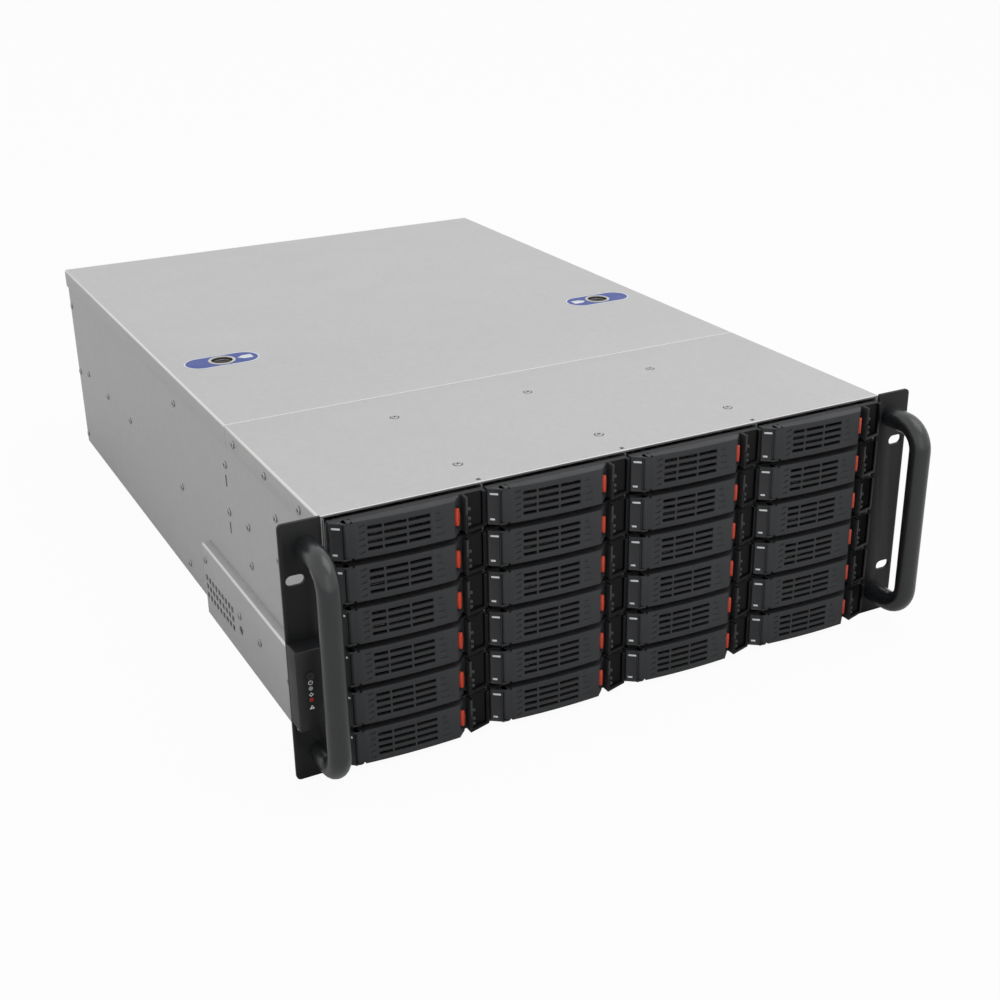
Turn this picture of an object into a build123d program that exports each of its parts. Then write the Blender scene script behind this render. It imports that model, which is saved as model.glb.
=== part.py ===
from build123d import *
import math
import os

# Rackmount server case, four rack units high, with 24 drive trays in the front.
# X is to the right seen from the front, Y runs to the rear and Z is up.
# While modelling, Y is measured from the front faces of the rack ears.
# write_node moves every piece, so the origin ends up under the middle of the base.

# Body and sheet
body_width = 430.0
case_depth = 660.0
ear_height = 177.0
ear_sheet = 2.5
cover_drop = 0.8
tub_sheet = 1.2
cover_sheet = 1.0
sheet_gap = 0.2
slide_gap = 0.3
fit_gap = 0.3
cut_past = 1.0
top_lip_width = 9.0
cover_top = ear_height - cover_drop
cover_under = cover_top - cover_sheet
tub_top = cover_under - slide_gap
wall_outer = body_width / 2 - cover_sheet - sheet_gap
wall_inner = wall_outer - tub_sheet

# Rack ears
ear_width = 27.2
ear_corner = 3.0
ear_gap = 0.3
slot_inset = 8.75
slot_spacing_z = 101.6
slot_width = 7.0
slot_length = 12.0
wing_width = 10.0
ear_inner = wall_outer + ear_gap
ear_edge = ear_inner + ear_width
slot_lower_z = (ear_height - slot_spacing_z) / 2

# Front handles
handle_diameter = 15.0
handle_inset = 16.8
handle_reach = 34.0
handle_end_z = 17.5
handle_bend = 17.0
handle_x = ear_edge - handle_inset

# Drive cage and rows
columns = 4
rows = 6
cage_sheet = 0.8
ledge_width = 1.5
cage_front = 1.5
strap_width = 12.0
strap_inset = 2.0
column_pitch = (2 * wall_inner - 2 * sheet_gap - cage_sheet) / columns
row_floor = tub_sheet + cage_sheet
row_pitch = (cover_top - cover_drop - row_floor) / rows

# Drive trays
tray_sheet = 1.0
tray_depth = 150.0
tray_rear_room = 19.5
tray_side_room = 0.9
rail_top_room = 10.6
flange_top_room = 2.0
bezel_side_gap = 2.0
bezel_row_gap = 4.4
bezel_rise = 2.2
bezel_wall_front = -3.0
bezel_wall_back = 1.2
bezel_window_rim = 3.0
bezel_width = column_pitch - bezel_side_gap
bezel_low = bezel_rise
bezel_high = bezel_rise + row_pitch - bezel_row_gap
bezel_middle = (bezel_low + bezel_high) / 2
chamfer_width = 6.6
chamfer_start = -3.6
chamfer_end = -8.6
hinge_x = 10.0
hinge_y = -6.2
barrel_radius = 2.8
pin_radius = 1.0
pin_clear = 0.08
pin_end_inset = 0.4
move_gap = 0.4
hinge_ear = 2.0
front_bow = 1.4
lever_shell = 2.4
lever_rim = 1.6
lever_pocket_inset = 31.5
vent_start = 21.5
vent_end_inset = 40.5
vent_end = bezel_width - vent_end_inset
vent_rib = 1.2
vent_rows = 4
vent_pitch = 4.7
vent_height = 2.4
nose_left_inset = 24.8
nose_right_inset = 18.4
nose_front = -11.4
nose_back = -5.0
release_width = 5.0
release_height = 12.0
release_length = 4.6
release_proud = 1.4
release_travel = 1.2
grip_inset = 16.2
grip_front = -10.0
grip_end_front = -5.2
scoop_inset = 9.5
scoop_y = -13.0
scoop_radius = 8.5
pipe_start = 1.4
pipe_height = 1.2
pipe_width = 4.2
pipe_low_width = 2.4
pipe_drop = 4.2
pipe_lift = 3.0
cage_rear = ear_sheet + tray_depth + tray_rear_room

# Covers
seam_offset = 6.0
seam_gap = 0.6
cover_flange = 16.0
cover_screw_x = 106.0
cover_notch = 3.0
cover_notch_y = 6.5
rear_lip = 12.0
seam_y = cage_rear + seam_offset
cover_screw_rows = (seam_y - 143.0, seam_y - 44.0)

# Cover latches
latch_inset = 44.0
latch_behind_seam = 139.0
latch_bore = 8.3
latch_wall = 1.7
latch_rim = 2.2
latch_rim_sheet = 0.5
latch_depth = 9.0
latch_recess = 1.5
latch_plug = 3.7
latch_stem = 4.0
latch_reach = 15.0
label_length = 60.0
label_width = 27.0
label_sheet = 0.2
latch_x = body_width / 2 - latch_inset
latch_y = seam_y + latch_behind_seam

# Cable duct on the left side
duct_length = 247.0
duct_height = 60.0
duct_width = 7.0
duct_sheet = 1.0
vent_hole = 5.0
vent_hole_pitch = 7.5
duct_vent_columns = 9
duct_vent_rows = 3
duct_vent_inset = 6.0
duct_vent_low_z = 18.0
duct_boss = 3.0
duct_hole_radius = 3.6
duct_hole_drop = 12.0
cable_hole_inset = 12.0
cable_hole_length = 30.0
cable_hole_low_z = 12.0
cable_hole_high_z = 36.0

# Control panel
panel_width = 24.3
panel_low_z = 43.0
panel_height = 55.5
panel_depth = 14.0
panel_wall = 1.6
panel_round = 0.8
panel_outer_inset = 8.6
panel_inner_inset = 18.9
panel_button_drop = 17.2
panel_board = 1.6
switch_size = 5.0
switch_height = 3.0
power_radius = 2.6
reset_radius = 1.7
button_proud = 0.9
button_travel = 0.8
button_collar = 1.2
button_stem = 1.0
lamp_radius = 1.4
lamp_proud = 0.1
panel_inner_x = ear_edge - panel_width
panel_high_z = panel_low_z + panel_height
panel_button_z = panel_high_z - panel_button_drop
panel_outer_column = ear_edge - panel_outer_inset
panel_inner_column = ear_edge - panel_inner_inset
panel_lamps = (
    (panel_outer_column, panel_high_z - 26.3), (panel_outer_column, panel_high_z - 34.2),
    (panel_inner_column, panel_high_z - 25.9), (panel_inner_column, panel_high_z - 33.9),
)

# Backplanes
board_sheet = 1.6
board_row_gap = 4.9
board_height = row_pitch - board_row_gap
socket_width = 43.0
socket_height = 6.0
socket_depth = 9.0
socket_key = 2.0
plug_width = 22.0
plug_height = 10.0
plug_depth = 12.0
data_plug_width = 12.0
data_plug_depth = 14.0

# Fan wall and fans
fan_count = 3
fan_bay = 116.0
fan_wall_flange = 32.0
fan_wall_lip = 10.5
fan_wall_top_gap = 9.9
fan_side_room = 35.2
fan_gap = 10.0
fan_rim = 3.0
fan_depth = 25.0
fan_low_z = 14.0
fan_foot = 40.0
fan_hub = 19.0
fan_arm = 4.0
fan_arm_depth = 3.0
fan_front_room = 2.0
fan_tip_gap = 2.5
fan_blades = 7
fan_blade_sheet = 1.8
fan_blade_chord = 17.0
fan_blade_angle = 38.0
fan_blade_root = 2.0
fan_corner_inset = 15.0
fan_hole = 2.25
fan_wall_y = cage_rear + fan_bay
fan_wall_height = tub_top - fan_wall_top_gap
fan_pitch = (2 * wall_inner - fan_side_room) / fan_count
fan_size = fan_pitch - fan_gap
fan_bore = fan_size / 2 - fan_rim
fan_middle_z = fan_low_z + fan_size / 2

# Rear panel
rear_flange = 10.5
psu_width = 106.0
psu_height = 84.0
psu_inset = 4.6
psu_low_z = 6.0
psu_port_gap = 6.125
port_width = 158.75
port_height = 44.45
port_low_z = 7.6
slot_pitch = 20.32
slot_port_distance = 91.5
slot_side_room = 12.0
slot_opening = 12.4
slot_opening_low_z = 9.0
slot_top_room = 59.9
slot_cover_width = 18.4
slot_cover_overlap = 6.0
slot_cover_tab = 11.0
rear_fan_pitch = 71.5
rear_fan_drop = 62.9
rear_fan_first = 41.5
rear_fan_spacing = 82.0
grille_radius = 36.0
psu_right_x = wall_inner - psu_inset
port_right_x = psu_right_x - psu_width - psu_port_gap
port_middle_x = port_right_x - port_width / 2
slot_first_x = port_middle_x - slot_port_distance
slot_count = int((wall_inner - slot_side_room + slot_first_x) / slot_pitch) + 1
slot_opening_height = tub_top - slot_top_room - slot_opening_low_z
rear_fan_z = tub_top - rear_fan_drop
rear_fan_x = (
    port_middle_x + rear_fan_first,
    port_middle_x + rear_fan_first - rear_fan_spacing,
)

# Motherboard standoffs
standoff_height = 6.35
standoff_radius = 2.75
standoff_bore = 1.25
standoff_columns = (port_middle_x + 78.5, port_middle_x - 78.98, port_middle_x - 203.44)
standoff_rows = (case_depth - 14.7, case_depth - 169.64, case_depth - 242.03)

# Screws and rivets
fastener_hole = 1.7
fastener_shank = 1.5
fastener_head = 2.8
fastener_head_height = 1.1
wing_screw_radius = 2.5
wing_screw_height = 1.5
hook_slot_width = 3.2
hook_slot_length = 9.0
wall_fasteners = (
    (case_depth - 6.0, tub_top - 32.9), (case_depth - 6.0, 76.0), (case_depth - 6.0, 11.0),
    (case_depth - 43.0, 84.0), (case_depth - 117.0, 84.0), (case_depth - 195.0, 86.0),
    (fan_wall_y + 24.0, tub_top - 24.9), (fan_wall_y + 24.0, 80.0), (fan_wall_y + 24.0, 13.0),
    (seam_y + 10.0, tub_top - 31.9), (seam_y + 10.0, 106.5),
    (seam_y - 32.5, 111.5), (seam_y - 32.5, 82.0),
    (seam_y - 93.0, tub_top - 32.9), (seam_y - 93.0, 111.6),
)
flange_fasteners = (
    (seam_y - 17.0, cover_top - 8.7), (seam_y - 80.0, cover_top - 8.7), (seam_y - 143.0, cover_top - 8.7),
)
hook_slots = ((seam_y + 11.0, tub_top - 44.4), (seam_y + 11.0, 94.0))
wing_screws = (70.0, 125.0, tub_top - 6.9)
duct_fasteners = (
    (duct_length - 7.0, duct_height - 12.0), (duct_length - 84.0, duct_height - 24.0),
    (duct_length - 127.0, duct_height - 25.0), (duct_length - 185.0, duct_height - 26.0),
)


def block(x0, x1, y0, y1, z0, z1):
    return Pos((x0 + x1) / 2, (y0 + y1) / 2, (z0 + z1) / 2) * Box(
        abs(x1 - x0), abs(y1 - y0), abs(z1 - z0)
    )


def rod_x(x0, x1, y, z, radius):
    return Pos((x0 + x1) / 2, y, z) * Rot(0, 90, 0) * Cylinder(radius, abs(x1 - x0))


def rod_y(x, y0, y1, z, radius):
    return Pos(x, (y0 + y1) / 2, z) * Rot(90, 0, 0) * Cylinder(radius, abs(y1 - y0))


def rod_z(x, y, z0, z1, radius):
    return Pos(x, y, (z0 + z1) / 2) * Cylinder(radius, abs(z1 - z0))


def upright(face, z0, z1):
    return Pos(0, 0, z0) * extrude(face, amount=z1 - z0)


def mirrored(shape):
    return mirror(shape, about=Plane.YZ)


def write_node(name, shape):
    placed = Pos(0, -case_depth / 2, 0) * shape
    solids = placed.solids()
    whole = solids[0] if len(solids) == 1 else Compound(children=list(solids))
    export_step(whole, f"parts/{name}.step")


def group(shapes):
    solids = []
    for shape in shapes:
        solids.extend(shape.solids())
    return Compound(children=solids)


def column_centre(column):
    return (column - (columns - 1) / 2) * column_pitch


def row_base(row):
    return row_floor + row * row_pitch


# Fasteners as cutters and as solids

def wall_holes(side, points):
    holes = []
    reach = cover_sheet + cage_sheet + cut_past
    for y, z in points:
        holes.append(rod_x(side * (wall_inner - reach), side * (wall_outer + reach), y, z, fastener_hole))
    return holes


def wall_screw(side, seat, y, z, length):
    head = rod_x(side * seat, side * (seat + fastener_head_height), y, z, fastener_head)
    shank = rod_x(side * (seat - length), side * seat, y, z, fastener_shank)
    return head + shank


def cover_screw_columns():
    return (-cover_screw_x, 0.0, cover_screw_x)


def cover_screw_points():
    return [(x, y) for x in cover_screw_columns() for y in cover_screw_rows]


# Sheet metal body: a base pan, the side walls on it, their top lips and the flanges behind the ears

def chassis_tub():
    base = block(-wall_outer, wall_outer, ear_sheet, case_depth, 0, tub_sheet)
    for x in standoff_columns:
        for y in standoff_rows:
            base -= rod_z(x, y, -cut_past, tub_sheet + cut_past, standoff_bore)
    pieces = [base]
    for side in (-1, 1):
        pieces += [side_wall(side), top_lip(side), front_flange(side)]
    return group(pieces)


def side_wall(side):
    wall = block(side * wall_inner, side * wall_outer, ear_sheet, case_depth, tub_sheet, tub_top)
    wall -= wall_holes(side, wall_fasteners + flange_fasteners)
    for y, z in hook_slots:
        wall -= block(
            side * (wall_inner - cut_past), side * (wall_outer + cut_past),
            y - hook_slot_width / 2, y + hook_slot_width / 2,
            z - hook_slot_length / 2, z + hook_slot_length / 2,
        )
    if side < 0:
        cable_y = duct_length - cable_hole_inset
        wall -= block(
            -wall_outer - cut_past, -wall_inner + cut_past, cable_y - cable_hole_length, cable_y,
            cable_hole_low_z, cable_hole_high_z,
        )
    return wall


def top_lip(side):
    return block(
        side * (wall_inner - top_lip_width), side * wall_inner,
        cage_rear + 2 * strap_width, case_depth - tub_sheet, tub_top - tub_sheet, tub_top,
    )


def front_flange(side):
    return block(
        side * wall_outer, side * (wall_outer + wing_width), ear_sheet, ear_sheet + tub_sheet, 0, tub_top
    )


def rear_panel():
    inner = case_depth - tub_sheet
    half = wall_inner - sheet_gap
    panel = block(-half, half, inner, case_depth, tub_sheet, tub_top)
    for side in (-1, 1):
        panel += block(
            side * half, side * (half - tub_sheet), inner - rear_flange, inner,
            tub_sheet, tub_top - tub_sheet - sheet_gap,
        )
        panel -= wall_holes(side, wall_fasteners)
    panel -= block(
        port_right_x - port_width, port_right_x, inner - cut_past, case_depth + cut_past,
        port_low_z, port_low_z + port_height,
    )
    panel -= block(
        psu_right_x - psu_width, psu_right_x, inner - cut_past, case_depth + cut_past,
        psu_low_z, psu_low_z + psu_height,
    )
    for index in range(slot_count):
        x = slot_first_x - index * slot_pitch
        panel -= block(
            x - slot_opening / 2, x + slot_opening / 2, inner - cut_past, case_depth + cut_past,
            slot_opening_low_z, slot_opening_low_z + slot_opening_height,
        )
    for x in rear_fan_x:
        panel -= fan_grille(x, inner)
    return panel


def fan_grille(centre_x, inner):
    cuts = []
    steps = int(grille_radius / vent_hole_pitch)
    for i in range(-steps, steps + 1):
        for j in range(-steps, steps + 1):
            x = i * vent_hole_pitch
            z = j * vent_hole_pitch
            if math.hypot(x, z) <= grille_radius:
                cuts.append(
                    block(
                        centre_x + x - vent_hole / 2, centre_x + x + vent_hole / 2,
                        inner - cut_past, case_depth + cut_past,
                        rear_fan_z + z - vent_hole / 2, rear_fan_z + z + vent_hole / 2,
                    )
                )
    for i in (-1, 1):
        for j in (-1, 1):
            cuts.append(
                rod_y(
                    centre_x + i * rear_fan_pitch / 2, inner - cut_past, case_depth + cut_past,
                    rear_fan_z + j * rear_fan_pitch / 2, fan_hole,
                )
            )
    return cuts


def slot_covers():
    inner = case_depth - tub_sheet
    low = slot_opening_low_z - slot_cover_overlap
    high = slot_opening_low_z + slot_opening_height + slot_cover_overlap
    covers = []
    for index in range(slot_count):
        x = slot_first_x - index * slot_pitch
        half = slot_cover_width / 2
        strip = block(x - half, x + half, inner - cover_sheet, inner, low, high)
        tab = block(x - half, x + half, inner - slot_cover_tab, inner, high - cover_sheet, high)
        covers.append(strip + tab)
    return group(covers)


def standoffs():
    posts = []
    for x in standoff_columns:
        for y in standoff_rows:
            post = rod_z(x, y, tub_sheet, tub_sheet + standoff_height, standoff_radius)
            posts.append(post - rod_z(x, y, 0, tub_sheet + standoff_height + cut_past, standoff_bore))
    return group(posts)


def front_cover():
    half = body_width / 2
    cover = block(-half, half, ear_sheet, seam_y, cover_under, cover_top)
    low = cover_top - cover_flange
    for side in (-1, 1):
        cover += block(
            side * (half - cover_sheet), side * half, 2 * ear_sheet, seam_y, low, cover_under
        )
        cover -= wall_holes(side, flange_fasteners)
    for x, y in cover_screw_points():
        cover -= rod_z(x, y, cover_under - cut_past, cover_top + cut_past, fastener_hole)
    for x in cover_screw_columns():
        cover -= block(
            x - cover_notch / 2, x + cover_notch / 2, cover_notch_y - cover_notch / 2,
            cover_notch_y + cover_notch / 2, cover_under - cut_past, cover_top + cut_past,
        )
    return cover


def rear_cover():
    half = body_width / 2
    front = seam_y + seam_gap
    rear = case_depth + slide_gap
    cover = block(-half, half, front, rear + cover_sheet, cover_under, cover_top)
    low = cover_top - cover_flange
    bore = latch_bore + latch_wall + sheet_gap
    for side in (-1, 1):
        cover += block(side * (half - cover_sheet), side * half, front, rear + cover_sheet, low, cover_under)
        cover -= rod_z(side * latch_x, latch_y, cover_under - cut_past, cover_top + cut_past, bore)
    lip_half = half - cover_sheet
    cover += block(-lip_half, lip_half, rear, rear + cover_sheet, cover_top - rear_lip, cover_under)
    return cover


# Cover latches

def latch_labels():
    labels = []
    bore = latch_bore + latch_wall + latch_rim + sheet_gap
    for side in (-1, 1):
        outline = Pos(side * latch_x, latch_y) * SlotOverall(label_length, label_width)
        plate = upright(outline, cover_top, cover_top + label_sheet)
        labels.append(plate - rod_z(side * latch_x, latch_y, cover_top - cut_past, cover_top + cut_past, bore))
    return group(labels)


def latch_cup(side):
    x = side * latch_x
    low = cover_top - latch_depth
    cup = rod_z(x, latch_y, low, cover_top, latch_bore + latch_wall)
    cup += rod_z(x, latch_y, cover_top, cover_top + latch_rim_sheet, latch_bore + latch_wall + latch_rim)
    cup -= rod_z(x, latch_y, low + cover_sheet, cover_top + cut_past, latch_bore)
    cup -= rod_z(x, latch_y, low - cut_past, cover_top, latch_stem + fit_gap)
    return cup


def latch_button(side):
    x = side * latch_x
    top = cover_top - latch_recess
    plug = rod_z(x, latch_y, top - latch_plug, top, latch_bore - fit_gap)
    stem = rod_z(x, latch_y, top - latch_reach, top - latch_plug, latch_stem)
    return plug + stem


# Rack ears and handles

def rack_ear(side):
    middle_x = (ear_inner + ear_edge) / 2
    outline = Pos(middle_x, ear_height / 2) * Rectangle(ear_width, ear_height)
    outer_corners = outline.vertices().group_by(Axis.X)[-1]
    outline = fillet(outer_corners, ear_corner)
    for z in (slot_lower_z, slot_lower_z + slot_spacing_z):
        outline -= Pos(ear_edge - slot_inset, z) * SlotOverall(slot_length, slot_width)
    ear = extrude(Plane.XZ * outline, amount=-ear_sheet)
    return ear if side > 0 else mirrored(ear)


def handle(side):
    # Two legs, two bends and the grip bar of one round tube
    x = side * handle_x
    radius = handle_diameter / 2
    high = ear_height - handle_end_z
    bend_y = handle_bend - handle_reach
    pieces = [
        rod_y(x, bend_y, 0, high, radius),
        rod_y(x, bend_y, 0, handle_end_z, radius),
        rod_z(x, -handle_reach, handle_end_z + handle_bend, high - handle_bend, radius),
    ]
    upper_axis = Axis((x, bend_y, high - handle_bend), (1, 0, 0))
    upper_start = Plane((x, bend_y, high), z_dir=(0, -1, 0)) * Circle(radius)
    pieces.append(revolve(upper_start, axis=upper_axis, revolution_arc=90))
    lower_axis = Axis((x, bend_y, handle_end_z + handle_bend), (1, 0, 0))
    lower_start = Plane((x, -handle_reach, handle_end_z + handle_bend), z_dir=(0, 0, -1))
    lower_start = lower_start * Circle(radius)
    pieces.append(revolve(lower_start, axis=lower_axis, revolution_arc=90))
    return group(pieces)


# Duct and control panel

def side_duct():
    wall = -wall_outer
    outer = wall - duct_width
    skin = outer + duct_sheet + cut_past
    front = ear_sheet + tub_sheet
    duct = block(outer, wall, front, duct_length, 0, duct_height)
    duct -= block(
        outer + duct_sheet, wall + cut_past, front - cut_past, duct_length - duct_sheet,
        duct_sheet, duct_height - duct_sheet,
    )
    for y, z in duct_fasteners:
        duct += rod_x(outer, wall, y, z, duct_boss)
        duct -= rod_x(outer - cut_past, wall + cut_past, y, z, fastener_hole)
    for column in range(duct_vent_columns):
        for row in range(duct_vent_rows):
            y = duct_length - duct_vent_inset - column * vent_hole_pitch
            z = duct_vent_low_z + row * vent_hole_pitch
            duct -= block(
                outer - cut_past, skin, y - vent_hole / 2, y + vent_hole / 2,
                z - vent_hole / 2, z + vent_hole / 2,
            )
    hole_y, hole_z = duct_fasteners[1]
    duct -= rod_x(outer - cut_past, skin, hole_y, hole_z - duct_hole_drop, duct_hole_radius)
    return duct


def panel_buttons():
    return ((panel_outer_column, power_radius), (panel_inner_column, reset_radius))


def control_panel():
    outer = block(-ear_edge, -panel_inner_x, -panel_depth, 0, panel_low_z, panel_high_z)
    front_edges = outer.faces().sort_by(Axis.Y)[0].edges()
    outer = fillet(front_edges, panel_round)
    skin_back = -panel_depth + panel_wall
    hollow = block(
        -ear_edge + panel_wall, -panel_inner_x - panel_wall, skin_back, cut_past,
        panel_low_z + panel_wall, panel_high_z - panel_wall,
    )
    housing = outer - hollow
    post = panel_wall
    for x in (-ear_edge + panel_wall + post / 2, -panel_inner_x - panel_wall - post / 2):
        for z in (panel_low_z + panel_wall + post / 2, panel_high_z - panel_wall - post / 2):
            housing += block(
                x - post / 2, x + post / 2, skin_back, -2 * panel_board, z - post / 2, z + post / 2
            )
    for x, radius in panel_buttons():
        bore = radius + sheet_gap
        housing -= rod_y(-x, -panel_depth - cut_past, skin_back + cut_past, panel_button_z, bore)
    for x, z in panel_lamps:
        housing -= rod_y(-x, -panel_depth - cut_past, skin_back + cut_past, z, lamp_radius + sheet_gap)
    return housing


def panel_board_and_lamps():
    inset = panel_wall + sheet_gap
    board_front = -2 * panel_board
    board = block(
        -ear_edge + inset, -panel_inner_x - inset, board_front, -panel_board,
        panel_low_z + inset, panel_high_z - inset,
    )
    pieces = [board]
    half = switch_size / 2
    for x, radius in panel_buttons():
        pieces.append(
            block(
                -x - half, -x + half, board_front - switch_height, board_front,
                panel_button_z - half, panel_button_z + half,
            )
        )
    for x, z in panel_lamps:
        pieces.append(rod_y(-x, -panel_depth - lamp_proud, board_front, z, lamp_radius))
    return group(pieces)


def panel_button(x, radius):
    cap_back = -panel_depth + panel_wall + sheet_gap
    collar_back = cap_back + button_collar
    switch_front = -2 * panel_board - switch_height
    cap = rod_y(-x, -panel_depth - button_proud, cap_back, panel_button_z, radius)
    collar = rod_y(-x, cap_back, collar_back, panel_button_z, radius + button_stem)
    stem = rod_y(-x, collar_back, switch_front - button_travel - sheet_gap, panel_button_z, button_stem)
    return cap + collar + stem


# Drive cage and backplanes

def cage_half():
    return columns / 2 * column_pitch + cage_sheet / 2


def cage_divider(index):
    x = (index - columns / 2) * column_pitch
    high = tub_top - cage_sheet
    plates = [Pos(x, (row_floor + high) / 2) * Rectangle(cage_sheet, high - row_floor)]
    reach = cage_sheet / 2 + ledge_width
    for side in (-1, 1):
        if abs(x + side * cage_sheet) < cage_half():
            for row in range(1, rows):
                z = row_base(row) - cage_sheet / 2
                plates.append(Pos(x + side * reach / 2, z) * Rectangle(reach, cage_sheet))
    section = plates[0] + plates[1:]
    divider = Pos(0, cage_front, 0) * extrude(Plane.XZ * section, amount=cage_front - cage_rear)
    for side in (-1, 1):
        divider -= wall_holes(side, wall_fasteners)
    return divider


def drive_cage():
    half = cage_half()
    pieces = [block(-half, half, cage_front, cage_rear, tub_sheet, row_floor)]
    for y in (cage_front + strap_inset, cage_rear - strap_width):
        pieces.append(block(-half, half, y, y + strap_width, tub_top - cage_sheet, tub_top))
    for index in range(columns + 1):
        pieces.append(cage_divider(index))
    return group(pieces)


def backplanes():
    boards = []
    half = columns / 2 * column_pitch
    for row in range(rows):
        low = row_base(row) + bezel_rise
        boards.append(block(-half, half, cage_rear, cage_rear + board_sheet, low, low + board_height))
    return group(boards)


def backplane_connectors():
    pieces = []
    back = cage_rear + board_sheet
    for row in range(rows):
        z = row_base(row) + bezel_rise + board_height / 2
        for column in range(columns):
            x = column_centre(column)
            socket = block(
                x - socket_width / 2, x + socket_width / 2, cage_rear - socket_depth, cage_rear,
                z - socket_height / 2, z + socket_height / 2,
            )
            key = block(
                x - socket_width / 3, x + socket_width / 3, cage_rear - socket_depth - cut_past,
                cage_rear - socket_depth / 2, z - socket_key / 2, z + socket_key / 2,
            )
            pieces.append(socket - key)
        for x in (-column_pitch, column_pitch):
            pieces.append(
                block(
                    x - plug_width / 2, x + plug_width / 2, back, back + plug_depth,
                    z - plug_height / 2, z + plug_height / 2,
                )
            )
        pieces.append(
            block(
                -data_plug_width / 2, data_plug_width / 2, back, back + data_plug_depth,
                z - plug_height / 2, z + plug_height / 2,
            )
        )
    return group(pieces)


# Drive tray: all pieces are laid out from the bezel's left edge and the row's ledge

def tray_carrier():
    # The base sheet, its two side rails and the front flange that the bezel is fixed to
    middle = bezel_width / 2
    half = column_pitch / 2 - tray_side_room
    bottom = slide_gap
    floor_top = bottom + tray_sheet
    flange_back = bezel_wall_back + tray_sheet
    back = ear_sheet + tray_depth
    pieces = [block(middle - half, middle + half, flange_back, back, bottom, floor_top)]
    for x0, x1 in ((middle - half, middle - half + tray_sheet), (middle + half - tray_sheet, middle + half)):
        pieces.append(block(x0, x1, flange_back, back, floor_top, row_pitch - rail_top_room))
    flange = block(
        middle - half, middle + half, bezel_wall_back, flange_back, bottom, bezel_high - flange_top_room
    )
    rim = bezel_window_rim + tray_sheet
    window = block(
        vent_start - rim, vent_end + rim, bezel_wall_back - cut_past, flange_back + cut_past,
        bezel_low + rim, bezel_high - rim,
    )
    pieces.append(flange - window)
    return pieces


def bezel_frame():
    # The plate behind the lever, the hinge block at its left and the grip block at its right
    back_plate = block(0, bezel_width, bezel_wall_front, bezel_wall_back, bezel_low, bezel_high)
    rim = bezel_window_rim
    back_plate -= block(
        vent_start - rim, vent_end + rim, bezel_wall_front - cut_past, bezel_wall_back + cut_past,
        bezel_low + rim, bezel_high - rim,
    )
    hinge_outline = Polyline(
        (0, bezel_wall_front), (0, chamfer_start), (chamfer_width, chamfer_end),
        (chamfer_width, bezel_wall_front), (0, bezel_wall_front),
    )
    hinge_block = upright(make_face(hinge_outline), bezel_low, bezel_high)
    for z0, z1 in ((bezel_low, bezel_low + hinge_ear), (bezel_high - hinge_ear, bezel_high)):
        hinge_block += block(
            chamfer_width, hinge_x, hinge_y - barrel_radius, bezel_wall_front, z0, z1
        )
        hinge_block += rod_z(hinge_x, hinge_y, z0, z1, barrel_radius)
    hinge_block -= rod_z(hinge_x, hinge_y, bezel_low - cut_past, bezel_high + cut_past, pin_radius)
    for pipe in light_pipe_blocks():
        back_plate -= pipe
        hinge_block -= pipe
    grip_left = bezel_width - grip_inset
    grip_outline = Polyline(
        (grip_left, bezel_wall_front), (grip_left, grip_front), (bezel_width, grip_end_front),
        (bezel_width, bezel_wall_front), (grip_left, bezel_wall_front),
    )
    grip_block = upright(make_face(grip_outline), bezel_low, bezel_high)
    grip_block -= rod_z(
        bezel_width - scoop_inset, scoop_y, bezel_low - cut_past, bezel_high + cut_past, scoop_radius
    )
    return [back_plate, hinge_block, grip_block]


def light_pipe_blocks():
    left = Polyline(
        (0, bezel_wall_back), (0, chamfer_start), (chamfer_width, chamfer_end),
        (chamfer_width, bezel_wall_back), (0, bezel_wall_back),
    )
    outline = upright(make_face(left), bezel_low, bezel_high)
    pipes = []
    for width, low in ((pipe_width, bezel_high - pipe_drop), (pipe_low_width, bezel_low + pipe_lift)):
        bar = block(pipe_start, pipe_start + width, chamfer_end, bezel_wall_back, low, low + pipe_height)
        pipes.append(bar & outline)
    return pipes


def hinge_pin():
    return rod_z(hinge_x, hinge_y, bezel_low + pin_end_inset, bezel_high - pin_end_inset, pin_radius)


def nose_frame():
    # The slanted nose face of the lever: its two edges, the direction along it and the way in
    start = Vector(bezel_width - nose_left_inset, nose_front)
    end = Vector(bezel_width - nose_right_inset, nose_back)
    along = (end - start).normalized()
    inward = Vector(-along.Y, along.X)
    return start, end, inward


def lever():
    back = bezel_wall_front - move_gap
    start, end, inward = nose_frame()
    hinge_front = hinge_y - barrel_radius
    outline = [
        ThreePointArc(
            (hinge_x, hinge_front),
            ((hinge_x + start.X) / 2, (hinge_front + start.Y) / 2 - front_bow),
            (start.X, start.Y),
        ),
        Line((start.X, start.Y), (end.X, end.Y)),
        Line((end.X, end.Y), (end.X, back)),
        Line((end.X, back), (hinge_x, back)),
        Line((hinge_x, back), (hinge_x, hinge_front)),
    ]
    body = upright(make_face(Wire(outline)), bezel_low, bezel_high)
    reach = barrel_radius + move_gap
    barrel_low = bezel_low + hinge_ear + fit_gap
    barrel_high = bezel_high - hinge_ear - fit_gap
    for z0, z1 in ((bezel_low - cut_past, barrel_low), (barrel_high, bezel_high + cut_past)):
        body -= block(hinge_x - reach, hinge_x + reach, 2 * hinge_front, cut_past, z0, z1)
    body += rod_z(hinge_x, hinge_y, barrel_low, barrel_high, barrel_radius)
    body -= rod_z(hinge_x, hinge_y, bezel_low - cut_past, bezel_high + cut_past, pin_radius + pin_clear)
    pocket_front = hinge_front + lever_shell - front_bow
    body -= block(
        hinge_x + reach + lever_rim, bezel_width - lever_pocket_inset, pocket_front, back + cut_past,
        bezel_low + lever_rim, bezel_high - lever_rim,
    )
    body -= vent_slots()
    body -= release_shape(-release_proud, release_length + release_travel + fit_gap, fit_gap)
    return body


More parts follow.
